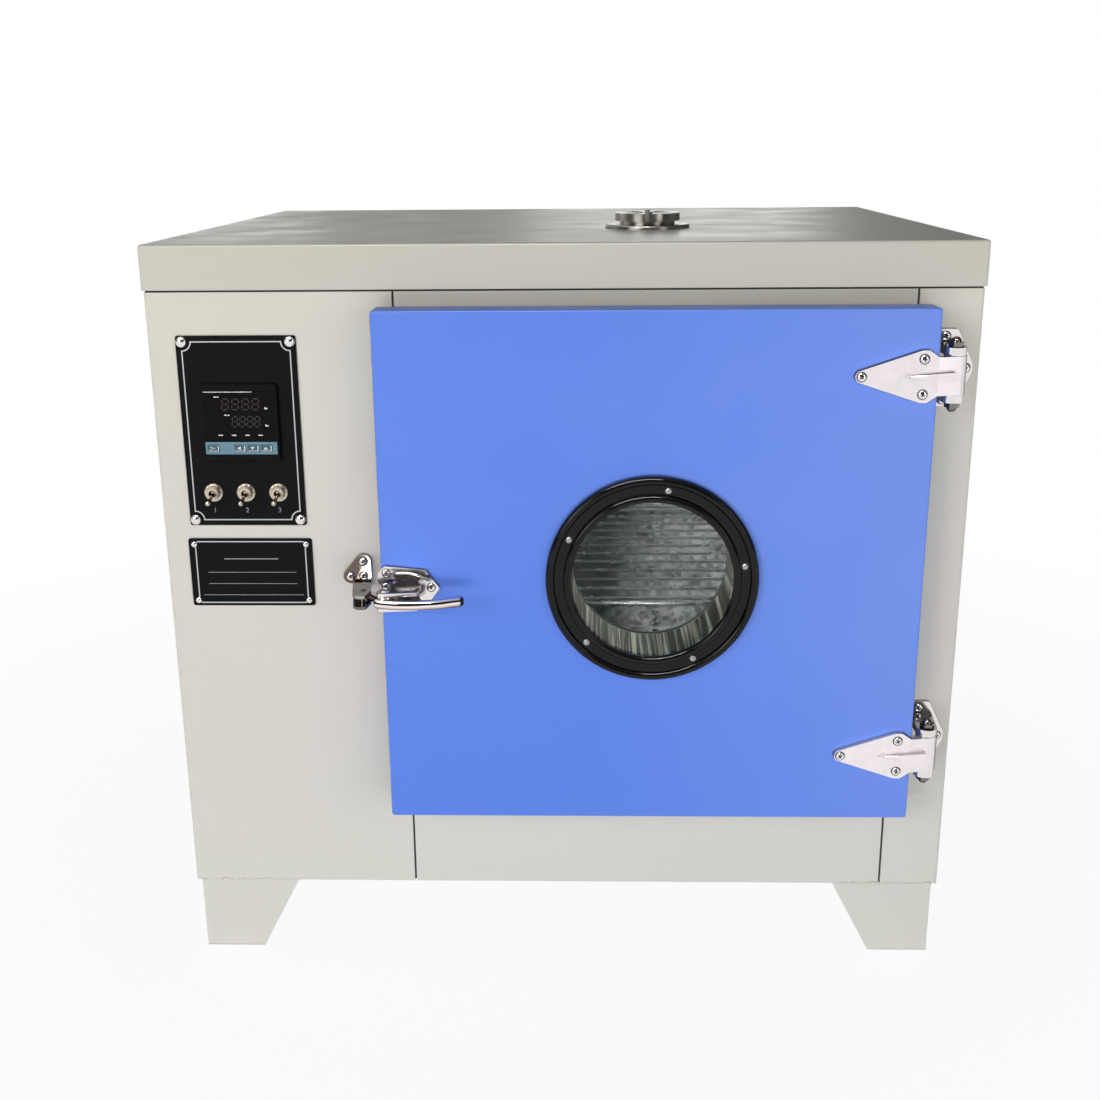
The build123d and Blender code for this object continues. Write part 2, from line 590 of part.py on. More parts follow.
def chamber_liner():
    t = LINER_SHEET
    box = block((CHAMBER_LEFT - t, CHAMBER_RIGHT + t), (SHEET, CHAMBER_DEPTH + t),
                (WELL_Z - t, CHAMBER_TOP + t))
    box -= block((CHAMBER_LEFT, CHAMBER_RIGHT), (SHEET + t, CHAMBER_DEPTH), (WELL_Z, CHAMBER_TOP))
    box -= block((CHAMBER_LEFT, CHAMBER_RIGHT), (0, FLANGE), (CHAMBER_Z, CHAMBER_TOP))
    lip = block((CHAMBER_LEFT - LINER_LIP, CHAMBER_RIGHT + LINER_LIP), (SHEET, SHEET + t),
                (WELL_Z - t, CHAMBER_TOP + LINER_LIP))
    lip -= block((CHAMBER_LEFT, CHAMBER_RIGHT), (0, FLANGE), (WELL_Z, CHAMBER_TOP))
    box += lip
    for slot in liner_slots():
        box -= slot
    box -= rod_z(VENT_AT_X, VENT_Y, VENT_PIPE_RADIUS - VENT_WALL, CHAMBER_TOP - 1, CHAMBER_TOP + 5)
    box -= rod_x(PROBE_Y, PROBE_Z, PROBE_RADIUS, LINER_LEFT - 1, CHAMBER_LEFT + 1)
    for offset in HEATER_OFFSETS:
        for leg in (-HEATER_BEND, HEATER_BEND):
            box -= rod_y(CHAMBER_X + offset + leg, HEATER_Z, HEATER_RADIUS,
                         CHAMBER_DEPTH - 1, CHAMBER_DEPTH + t + 1)
    return box


def chamber_floor():
    """Slotted plate over the heaters, on skirts that stand in the well."""
    x = (CHAMBER_LEFT + FLOOR_GAP, CHAMBER_RIGHT - FLOOR_GAP)
    y = (SHEET + LINER_SHEET, CHAMBER_DEPTH - FLOOR_GAP)
    plate = block(x, y, (WELL_Z, CHAMBER_Z))
    plate -= block((x[0] + SHEET, x[1] - SHEET), (y[0] - 1, y[1] + 1), (WELL_Z - 1, CHAMBER_Z - SHEET))
    pitch_x = CHAMBER_WIDTH / FLOOR_COLUMN_COUNT
    pitch_y = CHAMBER_DEPTH / FLOOR_ROW_COUNT
    for column in range(FLOOR_COLUMN_COUNT):
        for row in range(FLOOR_ROW_COUNT):
            at_x = CHAMBER_LEFT + (column + 0.5) * pitch_x
            at_y = (row + 0.5) * pitch_y
            plate -= block((at_x - FLOOR_SLOT_HALF, at_x + FLOOR_SLOT_HALF),
                           (at_y - FLOOR_SLOT_REACH, at_y + FLOOR_SLOT_REACH),
                           (CHAMBER_Z - SHEET - 1, CHAMBER_Z + 1))
    return plate


def shelf_rails():
    """Two ledges on each side wall."""
    rails = []
    y = (RAIL_START, CHAMBER_DEPTH - RAIL_START)
    for height in SHELF_HEIGHTS.values():
        top = CHAMBER_Z + height - SHELF_FRAME - RAIL_GAP
        for wall, inward in ((CHAMBER_LEFT, 1), (CHAMBER_RIGHT, -1)):
            ledge = block(sorted((wall, wall + inward * RAIL_WIDTH)), y, (top - SHEET, top))
            web = block(sorted((wall, wall + inward * SHEET)), y, (top - RAIL_WIDTH, top))
            rails.append(ledge + web)
    return rails


def shelf(height):
    """Wire shelf: a bent frame wire with rounded corners and straight wires welded across it."""
    z = CHAMBER_Z + height
    width = CHAMBER_WIDTH - 2 * (SHELF_SIDE_GAP + SHELF_FRAME)
    depth = SHELF_DEPTH - 2 * SHELF_FRAME
    middle = (CHAMBER_X, SHELF_START + SHELF_DEPTH / 2, z)
    loop = Pos(*middle) * RectangleRounded(width, depth, SHELF_CORNER).wire()
    frame = sweep(Plane(origin=loop @ 0, z_dir=loop % 0) * Circle(SHELF_FRAME), loop)
    low = CHAMBER_X - width / 2
    pitch = (depth - 2 * SHELF_CORNER) / (SHELF_WIRES - 1)
    start = middle[1] - depth / 2 + SHELF_CORNER
    wires = [rod_x(start + index * pitch, z, SHELF_WIRE, low, low + width) for index in range(SHELF_WIRES)]
    return frame.fuse(*wires)


def heating_elements():
    """Two hairpin heaters, their ends through the rear wall of the well."""
    elements = []
    far = CHAMBER_DEPTH + HEATER_TAIL
    near = HEATER_BEND * 2
    for offset in HEATER_OFFSETS:
        x = CHAMBER_X + offset
        bend = Pos(x, near, HEATER_Z) * CenterArc((0, 0, 0), HEATER_BEND, 180, 180)
        left = Line((x - HEATER_BEND, far, HEATER_Z), (x - HEATER_BEND, near, HEATER_Z))
        right = Line((x + HEATER_BEND, near, HEATER_Z), (x + HEATER_BEND, far, HEATER_Z))
        start = Plane(origin=(x - HEATER_BEND, far, HEATER_Z), z_dir=(0, -1, 0))
        elements.append(sweep(start * Circle(HEATER_RADIUS), Wire([left, bend, right])))
    return elements


def cabinet_insulation():
    """Wool round the chamber, cut out for everything that passes through it."""
    wool = block((WALL_X + SHEET, RIGHT - SHEET), (FLANGE, CHAMBER_DEPTH + WOOL_REAR),
                 (FLOOR + WOOL_FLOOR, BODY_TOP - SEAM - SHEET))
    t = LINER_SHEET
    wool -= block((LINER_LEFT, CHAMBER_RIGHT + t), (0, CHAMBER_DEPTH + t), (WELL_Z - t, CHAMBER_TOP + t))
    rim = DUCT_FLANGE + DUCT_FLANGE_GAP
    wool -= block((DUCT_X - WOOL_DUCT_GAP, LINER_LEFT + 1), (DUCT_Y[0] - rim, DUCT_Y[1] + rim),
                  (DUCT_Z[0] - rim, DUCT_Z[1] + rim))
    wool -= rod_x(BLOWER_Y, CHAMBER_MID, HUB_RADIUS + HUB_GAP, WALL_X - 1, LINER_LEFT)
    wool -= rod_z(VENT_AT_X, VENT_Y, VENT_PIPE_RADIUS, CHAMBER_TOP, BODY_TOP)
    wool -= rod_x(PROBE_Y, PROBE_Z, PROBE_RADIUS, WALL_X - 1, LINER_LEFT + 1)
    for offset in HEATER_OFFSETS:
        for leg in (-HEATER_BEND, HEATER_BEND):
            wool -= rod_y(CHAMBER_X + offset + leg, HEATER_Z, HEATER_RADIUS,
                          CHAMBER_DEPTH - 1, CHAMBER_DEPTH + WOOL_REAR + 1)
    return wool


# ------------------------------------------------------------------ blower
def blower_housing():
    """Duct box on the chamber wall, with a flange to fasten it and a hole for the shaft."""
    t = LINER_SHEET
    box = block((DUCT_X, LINER_LEFT), DUCT_Y, DUCT_Z)
    box -= block((DUCT_X + t, LINER_LEFT + 1), (DUCT_Y[0] + t, DUCT_Y[1] - t),
                 (DUCT_Z[0] + t, DUCT_Z[1] - t))
    flange = block((LINER_LEFT - t, LINER_LEFT), (DUCT_Y[0] - DUCT_FLANGE, DUCT_Y[1] + DUCT_FLANGE),
                   (DUCT_Z[0] - DUCT_FLANGE, DUCT_Z[1] + DUCT_FLANGE))
    flange -= block((LINER_LEFT - t - 1, LINER_LEFT + 1), DUCT_Y, DUCT_Z)
    return box + flange - rod_x(BLOWER_Y, CHAMBER_MID, HUB_RADIUS + HOUSING_GAP,
                                DUCT_X - 1, DUCT_X + t + 1)


def wheel_blade():
    """One forward-curved blade, drawn at the top of the wheel."""
    inner = WHEEL_EYE + BLADE_ROOT_GAP
    outer = WHEEL_RADIUS - BLADE_TIP_GAP
    middle = (inner + outer) / 2
    arc = ThreePointArc((0, inner), (-BLADE_BOW, middle), (BLADE_LEAN, outer))
    back = ThreePointArc((WHEEL_PLATE, inner), (WHEEL_PLATE - BLADE_BOW, middle - BLADE_TAPER / 2),
                         (BLADE_LEAN, outer - BLADE_TAPER))
    return make_face([arc, Line(arc @ 1, back @ 1), back, Line(back @ 0, arc @ 0)])


def blower_wheel():
    """Centrifugal wheel: back plate, hub, curved blades and shroud ring, axis along Z here."""
    plate = Cylinder(WHEEL_RADIUS, WHEEL_PLATE, align=RISING)
    hub = Cylinder(HUB_RADIUS, HUB_LENGTH, align=RISING)
    ring = Cylinder(WHEEL_RADIUS, WHEEL_PLATE, align=RISING)
    ring -= Cylinder(WHEEL_EYE, WHEEL_PLATE, align=RISING)
    wheel = plate + hub + Pos(0, 0, WHEEL_WIDTH - WHEEL_PLATE) * ring
    blade = extrude(Pos(0, 0, WHEEL_PLATE / 2) * wheel_blade(), WHEEL_WIDTH - WHEEL_PLATE)
    blades = [Rot(0, 0, index * 360 / WHEEL_BLADES) * blade for index in range(WHEEL_BLADES)]
    wheel = wheel.fuse(*blades)
    wheel -= Cylinder(SHAFT_RADIUS, 3 * WHEEL_WIDTH)
    return Pos(WHEEL_X - WHEEL_WIDTH, BLOWER_Y, CHAMBER_MID) * Rot(0, 90, 0) * wheel


def motor_shaft():
    return rod_x(BLOWER_Y, CHAMBER_MID, SHAFT_RADIUS, SHAFT_START, WHEEL_X - WHEEL_WIDTH + HUB_LENGTH)


def blower_motor():
    """Shaded-pole style motor: end bells and a finned body, bored for its shaft."""
    bell = MOTOR_RADIUS - FIN_HEIGHT
    core = Cylinder(bell, MOTOR_LENGTH, align=RISING)
    core = chamfer(core.edges().filter_by(GeomType.CIRCLE), FIN_HEIGHT)
    for index in range(FIN_COUNT):
        core += Pos(0, 0, FIN_START + index * FIN_PITCH) * Cylinder(MOTOR_RADIUS, FIN_WIDTH, align=RISING)
    core -= Pos(0, 0, SHAFT_INSET - 1) * Cylinder(SHAFT_RADIUS + PIN_CLEARANCE, MOTOR_LENGTH, align=RISING)
    return Pos(MOTOR_FACE - MOTOR_LENGTH, BLOWER_Y, CHAMBER_MID) * Rot(0, 90, 0) * core


def motor_bracket():
    """Square plate on four stand-off legs, bolted to the compartment wall."""
    half = MOTOR_RADIUS + MOTOR_PLATE_MARGIN
    plate = block((MOTOR_FACE, MOTOR_FACE + MOTOR_PLATE), (BLOWER_Y - half, BLOWER_Y + half),
                  (CHAMBER_MID - half, CHAMBER_MID + half))
    plate -= rod_x(BLOWER_Y, CHAMBER_MID, HUB_RADIUS, MOTOR_FACE - 1, MOTOR_FACE + MOTOR_PLATE + 1)
    reach = half - LEG_INSET
    for dy in (-reach, reach):
        for dz in (-reach, reach):
            plate += rod_x(BLOWER_Y + dy, CHAMBER_MID + dz, LEG_RADIUS, MOTOR_FACE + 1, WALL_X)
    return plate


def compartment_wall():
    wall = block((WALL_X, WALL_X + SHEET), (FLANGE + SHEET, BODY_DEPTH - 3 * SHEET),
                 (FLOOR + 2 * SHEET, BODY_TOP - SEAM - SHEET))
    wall -= rod_x(BLOWER_Y, CHAMBER_MID, HUB_RADIUS + HUB_GAP, WALL_X - 1, WALL_X + SHEET + 1)
    return wall - rod_x(PROBE_Y, PROBE_Z, PROBE_RADIUS, WALL_X - 1, WALL_X + SHEET + 1)


def temperature_probe():
    """Sheathed sensor through the left wall, with a collar in the compartment."""
    rod = rod_x(PROBE_Y, PROBE_Z, PROBE_RADIUS, WALL_X - PROBE_TAIL, CHAMBER_LEFT + PROBE_REACH)
    return rod + rod_x(PROBE_Y, PROBE_Z, 2 * PROBE_RADIUS, WALL_X - PROBE_COLLAR, WALL_X)


def power_relay():
    """Relay on a finned heat sink, on the compartment wall."""
    y = (BLOWER_Y + RELAY_BEHIND, BLOWER_Y + RELAY_BEHIND + RELAY_SIZE)
    z = (FLOOR + RELAY_LIFT, FLOOR + RELAY_LIFT + RELAY_SIZE)
    sink = block((WALL_X - RELAY_DEPTH, WALL_X), y, z)
    for index in range(RELAY_SLOT_COUNT):
        at = y[0] + RELAY_SLOT_START + index * RELAY_SLOT_PITCH
        sink -= block((WALL_X - RELAY_DEPTH - 1, WALL_X - RELAY_BASE), (at, at + RELAY_SLOT_WIDTH),
                      (z[0] - 1, z[1] + 1))
    return sink


def terminal_block():
    """Screw terminals for the incoming supply, on the compartment wall."""
    y = (BODY_DEPTH - TERMINAL_REAR - TERMINAL_LENGTH, BODY_DEPTH - TERMINAL_REAR)
    z = (FLOOR + TERMINAL_LIFT, FLOOR + TERMINAL_LIFT + TERMINAL_HEIGHT)
    body = block((WALL_X - TERMINAL_DEPTH, WALL_X), y, z)
    pocket_x = (WALL_X - TERMINAL_DEPTH - 1, WALL_X - TERMINAL_DEPTH + TERMINAL_POCKET)
    for index in range(TERMINAL_COUNT):
        at = y[0] + (index + 1) * TERMINAL_PITCH
        body -= block(pocket_x, (at - TERMINAL_HALF, at + TERMINAL_HALF),
                      (z[0] + TERMINAL_RIM, z[1] - TERMINAL_RIM))
    return body


def cable_gland():
    """Domed gland in the back panel, open through its middle for a supply cable."""
    neck = GLAND_RADIUS - GLAND_WALL
    rise = GLAND_NECK + SHEET
    body = Cylinder(neck, rise, align=RISING)
    body += Pos(0, 0, rise) * Cylinder(GLAND_RADIUS, GLAND_NUT, align=RISING)
    body += Pos(0, 0, rise + GLAND_NUT) * Cone(GLAND_RADIUS, neck, GLAND_REACH - GLAND_NUT, align=RISING)
    body -= Cylinder(GLAND_BORE, 4 * GLAND_REACH)
    return Pos(LEFT + GLAND_X, BODY_DEPTH - rise, FLOOR + GLAND_Z) * Rot(-90, 0, 0) * body


# ------------------------------------------------------------------ vent
def sectors(radius_low, radius_high, z_low, z_high, turn):
    """Fan-shaped openings round the vent axis."""
    half = math.radians(VENT_SECTOR_ANGLE / 2)
    a = (radius_high * math.cos(half), radius_high * math.sin(half))
    b = (radius_low * math.cos(half), radius_low * math.sin(half))
    outer = ThreePointArc((a[0], -a[1]), (radius_high, 0), a)
    inner = ThreePointArc(b, (radius_low, 0), (b[0], -b[1]))
    face = make_face([outer, Line(a, b), inner, Line((b[0], -b[1]), (a[0], -a[1]))])
    wedge = extrude(Pos(0, 0, z_low) * face, z_high - z_low)
    return [Rot(0, 0, turn + index * 360 / VENT_SECTORS) * wedge for index in range(VENT_SECTORS)]


def vent_base():
    """Flange on the cap, a short neck and a fixed disc with four openings."""
    neck = VENT_PIPE_RADIUS
    flange = Cylinder(VENT_FLANGE_RADIUS, VENT_FLANGE_HEIGHT, align=RISING)
    flange = fillet(flange.edges().sort_by(Axis.Z)[-1], VENT_FLANGE_HEIGHT * 0.45)
    body = flange + Cylinder(neck, VENT_NECK_HEIGHT + VENT_WALL, align=RISING)
    body -= Pos(0, 0, -1) * Cylinder(neck - VENT_WALL, VENT_NECK_HEIGHT + 1, align=RISING)
    for wedge in sectors(VENT_HUB, neck - VENT_WALL, VENT_NECK_HEIGHT - 1, DISC_Z + 1, 45):
        body -= wedge
    body += Pos(0, 0, VENT_NECK_HEIGHT) * Cylinder(VENT_PIN, VENT_PIN_LENGTH, align=RISING)
    return Pos(VENT_AT_X, VENT_Y, CAP_TOP) * body


def vent_rotor():
    """Turning disc with the same openings, a short rim and a finger tab at the front."""
    rim_low = VENT_NECK_HEIGHT - VENT_RIM
    top = DISC_Z + VENT_WALL
    body = Pos(0, 0, rim_low) * Cylinder(VENT_CAP_RADIUS, top - rim_low, align=RISING)
    body -= Pos(0, 0, rim_low - 1) * Cylinder(VENT_CAP_RADIUS - VENT_WALL, DISC_Z - rim_low + 1,
                                             align=RISING)
    tab = extrude(Rot(0, 0, 45) * Rectangle(VENT_TAB, VENT_TAB), top - rim_low + VENT_TAB_PROUD)
    tab = Pos(0, -VENT_CAP_RADIUS, rim_low) * tab
    body += tab - Cylinder(VENT_CAP_RADIUS - VENT_WALL, 4 * VENT_CAP_RADIUS)
    for wedge in sectors(VENT_HUB, VENT_PIPE_RADIUS - VENT_WALL, DISC_Z - 1, top + 1, 45):
        body -= wedge
    body -= Cylinder(VENT_PIN + PIN_CLEARANCE, 4 * VENT_CAP_RADIUS)
    return Pos(VENT_AT_X, VENT_Y, CAP_TOP) * body


def vent_pipe():
    pipe = rod_z(VENT_AT_X, VENT_Y, VENT_PIPE_RADIUS, CHAMBER_TOP + LINER_SHEET, CAP_TOP)
    return pipe - rod_z(VENT_AT_X, VENT_Y, VENT_PIPE_RADIUS - VENT_WALL, CHAMBER_TOP, CAP_TOP + 1)


# ------------------------------------------------------------------ control panel
def panel_corners(x, z, width, height, inset):
    return [(x + i * (width / 2 - inset), z + k * (height / 2 - inset))
            for i in (-1, 1) for k in (-1, 1)]


def control_plate():
    z = PLATE_TOP - PLATE_HEIGHT / 2
    plate = facing(Pos(PLATE_X, z) * Rectangle(PLATE_WIDTH, PLATE_HEIGHT), 0, PLATE_THICKNESS)
    plate = rounded_y(plate, PLATE_CORNER)
    half = CONTROLLER_BODY / 2
    plate -= block((PLATE_X - half, PLATE_X + half), (-9, 1), (CONTROLLER_Z - half, CONTROLLER_Z + half))
    for offset in TOGGLES.values():
        plate -= rod_y(PLATE_X + offset, TOGGLE_Z, TOGGLE_BUSH_RADIUS, -9, 1)
    return plate


def name_plate():
    plate = facing(Pos(PLATE_X, NAME_Z) * Rectangle(NAME_WIDTH, NAME_HEIGHT), 0, PLATE_THICKNESS)
    return rounded_y(plate, PLATE_CORNER)


def panel_screws():
    inset = PANEL_SCREW_RADIUS + PANEL_SCREW_MARGIN
    z = PLATE_TOP - PLATE_HEIGHT / 2
    heads = [screw_head(*at, PLATE_FACE, PANEL_SCREW_RADIUS, PANEL_SCREW_HEIGHT)
             for at in panel_corners(PLATE_X, z, PLATE_WIDTH, PLATE_HEIGHT, inset)]
    heads += [screw_head(*at, PLATE_FACE, PANEL_SCREW_RADIUS * NAME_SCREW_SHARE)
              for at in panel_corners(PLATE_X, NAME_Z, NAME_WIDTH, NAME_HEIGHT, inset)]
    return heads


def controller_case():
    """Panel controller: bezel in front of the plate, body behind it, pockets for lens and keys."""
    half = CONTROLLER / 2
    front = block((-half, half), (CONTROLLER_FACE, PLATE_FACE), (-half, half))
    front = rounded_y(front, CONTROLLER_CORNER)
    front = chamfer(front.faces().sort_by(Axis.Y)[0].edges(), CONTROLLER_CHAMFER)
    half = CONTROLLER_BODY / 2
    case = front + block((-half, half), (PLATE_FACE - 1, CONTROLLER_DEPTH), (-half, half))
    case -= block((-LENS_WIDTH / 2, LENS_WIDTH / 2), (CONTROLLER_FACE - 1, CONTROLLER_FACE + LENS_DEPTH),
                  (LENS_RAISE - LENS_HEIGHT / 2, LENS_RAISE + LENS_HEIGHT / 2))
    width = KEY_WIDTH / 2 + KEY_CLEARANCE
    height = KEY_HEIGHT / 2 + KEY_CLEARANCE
    depth = KEY_DEPTH - KEY_PROUD + KEY_TRAVEL + KEY_FLOOR_GAP
    for x in KEY_COLUMNS.values():
        case -= block((x - width, x + width), (CONTROLLER_FACE - 1, CONTROLLER_FACE + depth),
                      (KEY_ROW - height, KEY_ROW + height))
    return Pos(PLATE_X, 0, CONTROLLER_Z) * case


def controller_lens():
    z = CONTROLLER_Z + LENS_RAISE
    return block((PLATE_X - LENS_WIDTH / 2, PLATE_X + LENS_WIDTH / 2),
                 (CONTROLLER_FACE, CONTROLLER_FACE + LENS_DEPTH),
                 (z - LENS_HEIGHT / 2, z + LENS_HEIGHT / 2))


def key(offset):
    cap = block((-KEY_WIDTH / 2, KEY_WIDTH / 2), (-KEY_PROUD, KEY_DEPTH - KEY_PROUD),
                (-KEY_HEIGHT / 2, KEY_HEIGHT / 2))
    cap = chamfer(cap.faces().sort_by(Axis.Y)[0].edges(), KEY_CHAMFER)
    return Pos(PLATE_X + offset, CONTROLLER_FACE, CONTROLLER_Z + KEY_ROW) * cap


def toggle_switch(offset):
    """Switch body behind the sheet, bush, washer and nut in front, bored for the lever and its pin."""
    x = PLATE_X + offset
    face = PLATE_FACE
    body = block((x - SWITCH_HALF_WIDTH, x + SWITCH_HALF_WIDTH), (SHEET, SWITCH_DEPTH),
                 (TOGGLE_Z - SWITCH_HALF_HEIGHT, TOGGLE_Z + SWITCH_HALF_HEIGHT))
    body += rod_y(x, TOGGLE_Z, TOGGLE_BUSH_RADIUS, face - TOGGLE_BUSH_REACH, SHEET + 1)
    body += rod_y(x, TOGGLE_Z, TOGGLE_WASHER_RADIUS, face - TOGGLE_WASHER, face)
    nut = Pos(x, TOGGLE_Z) * RegularPolygon(TOGGLE_NUT_FLATS / 2, 6, major_radius=False)
    body += facing(nut, face - TOGGLE_WASHER, TOGGLE_NUT)
    reach = TOGGLE_PIN_REACH + PIN_CLEARANCE
    body -= rod_x(-TOGGLE_PIVOT, TOGGLE_Z, TOGGLE_PIN_RADIUS + PIN_CLEARANCE, x - reach, x + reach)
    return body - rod_y(x, TOGGLE_Z, TOGGLE_BORE, face - TOGGLE_BUSH_REACH - 1,
                        TOGGLE_BORE - TOGGLE_PIVOT)


def toggle_lever(offset):
    """Bat lever: a ball on its cross pin, and a tapered stem that ends in a round tip."""
    ball = Sphere(TOGGLE_BORE - PIN_CLEARANCE)
    stem = Cone(*TOGGLE_STEM, TOGGLE_LENGTH, align=RISING)
    tip = Pos(0, 0, TOGGLE_LENGTH) * Sphere(TOGGLE_TIP)
    pin = rod_x(0, 0, TOGGLE_PIN_RADIUS, -TOGGLE_PIN_REACH, TOGGLE_PIN_REACH)
    lever = ball + stem + tip + pin
    turn = Rot(90 + TOGGLE_TILT, 0, 0)
    return Pos(PLATE_X + offset, -TOGGLE_PIVOT, TOGGLE_Z) * turn * lever


# ------------------------------------------------------------------ door
def door_shell():
    """Pressed tray that opens to the rear, with a round window hole."""
    z = (CHAMBER_MID - DOOR_HEIGHT / 2, CHAMBER_MID + DOOR_HEIGHT / 2)
    tray = block((DOOR_LEFT, DOOR_RIGHT), (DOOR_FACE, DOOR_BACK), z)
    tray = rounded_y(tray, BEND)
    tray = fillet(tray.faces().sort_by(Axis.Y)[0].edges(), BEND - 1)
    tray -= block((DOOR_LEFT + SHEET, DOOR_RIGHT - SHEET), (DOOR_FACE + SHEET, DOOR_BACK + 1),
                  (z[0] + SHEET, z[1] - SHEET))
    return tray - rod_y(WINDOW_X, WINDOW_Z, GLASS_RADIUS + BARREL_WALL, DOOR_FACE - 1, DOOR_BACK)


def door_inner_panel():
    """Inner panel inside the tray's rim, with a raised plug that enters the chamber mouth."""
    t = SHEET
    z = (CHAMBER_MID - DOOR_HEIGHT / 2 + t, CHAMBER_MID + DOOR_HEIGHT / 2 - t)
    panel = block((DOOR_LEFT + t, DOOR_RIGHT - t), (DOOR_BACK - t, DOOR_BACK), z)
    x = (DOOR_X - PLUG_WIDTH / 2, DOOR_X + PLUG_WIDTH / 2)
    z = (CHAMBER_MID - PLUG_HEIGHT / 2, CHAMBER_MID + PLUG_HEIGHT / 2)
    panel += block(x, (DOOR_BACK - t, PLUG_REACH), z)
    panel -= block((x[0] + t, x[1] - t), (DOOR_BACK - t - 1, PLUG_REACH - t), (z[0] + t, z[1] - t))
    return panel - rod_y(WINDOW_X, WINDOW_Z, GLASS_RADIUS, DOOR_BACK, PLUG_REACH + 1)


def door_insulation():
    half = DOOR_HEIGHT / 2 - DOOR_WOOL_INSET
    z = (CHAMBER_MID - half, CHAMBER_MID + half)
    wool = block((DOOR_LEFT + DOOR_WOOL_INSET, DOOR_RIGHT - DOOR_WOOL_INSET),
                 (DOOR_FACE + SHEET, DOOR_BACK - SHEET), z)
    return wool - rod_y(WINDOW_X, WINDOW_Z, GLASS_RADIUS + BARREL_WALL, DOOR_FACE, DOOR_BACK)


def door_gasket():
    """Silicone frame on the inner panel; it closes on the cabinet front."""
    width = CHAMBER_WIDTH + 2 * GASKET_OVERLAP + GASKET_WIDTH
    height = CHAMBER_HEIGHT + 2 * GASKET_OVERLAP + GASKET_WIDTH
    ring = Rectangle(width, height) - Rectangle(width - 2 * GASKET_WIDTH, height - 2 * GASKET_WIDTH)
    return facing(Pos(DOOR_X, CHAMBER_MID) * ring, -GASKET_GAP, -GASKET_GAP - DOOR_BACK)


def window_bezel():
    """Turned ring with two ridges and a groove for its screws; the pane sits in its rebate."""
    outer = BEZEL_RADIUS
    inner = GLASS_RADIUS
    high = BEZEL_HEIGHT
    groove = BEZEL_GROOVE
    ridge = (outer - inner) * 0.32
    profile = [Line((inner, PANE_THICKNESS), (inner, high * 0.8)),
               ThreePointArc((inner, high * 0.8), (inner + ridge / 2, high), (inner + ridge, groove)),
               Line((inner + ridge, groove), (outer - ridge, groove)),
               ThreePointArc((outer - ridge, groove), (outer - ridge * 0.45, high * 0.85),
                             (outer, high * 0.2)),
               Line((outer, high * 0.2), (outer, 0)),
               Line((outer, 0), (inner + PANE_LAP, 0)),
               Line((inner + PANE_LAP, 0), (inner + PANE_LAP, PANE_THICKNESS)),
               Line((inner + PANE_LAP, PANE_THICKNESS), (inner, PANE_THICKNESS))]
    ring = revolve(Plane.XZ * make_face(profile), Axis.Z)
    return Pos(WINDOW_X, DOOR_FACE, WINDOW_Z) * Rot(90, 0, 0) * ring


def window_screws():
    heads = []
    for index in range(WINDOW_SCREWS):
        angle = math.radians(WINDOW_SCREW_ANGLE + index * 360 / WINDOW_SCREWS)
        heads.append(screw_head(WINDOW_X + WINDOW_SCREW_RADIUS * math.cos(angle),
                                WINDOW_Z + WINDOW_SCREW_RADIUS * math.sin(angle),
                                DOOR_FACE - BEZEL_GROOVE, WINDOW_HEAD_RADIUS, WINDOW_HEAD_HEIGHT))
    return heads


def window_panes():
    radius = GLASS_RADIUS + PANE_LAP
    return [rod_y(WINDOW_X, WINDOW_Z, radius, DOOR_FACE - PANE_THICKNESS, DOOR_FACE),
            rod_y(WINDOW_X, WINDOW_Z, radius, PLUG_REACH, PLUG_REACH + INNER_PANE)]


def window_barrel():
    """Sleeve through the door between the two panes."""
    low = DOOR_FACE + SHEET
    high = PLUG_REACH - SHEET
    tube = rod_y(WINDOW_X, WINDOW_Z, GLASS_RADIUS + BARREL_WALL, low, high)
    return tube - rod_y(WINDOW_X, WINDOW_Z, GLASS_RADIUS, low - 1, high + 1)


def window_inner_ring():
    """Retaining ring for the inner pane, on the chamber side."""
    high = PLUG_REACH + INNER_RING_HEIGHT
    outer = BEZEL_RADIUS - INNER_RING_INSET
    ring = rod_y(WINDOW_X, WINDOW_Z, outer, PLUG_REACH, high)
    ring = chamfer(ring.faces().sort_by(Axis.Y)[-1].edges(), INNER_RING_CHAMFER)
    ring -= rod_y(WINDOW_X, WINDOW_Z, GLASS_RADIUS, PLUG_REACH - 1, high + 1)
    return ring - rod_y(WINDOW_X, WINDOW_Z, GLASS_RADIUS + PANE_LAP, PLUG_REACH - 1,
                        PLUG_REACH + INNER_PANE)


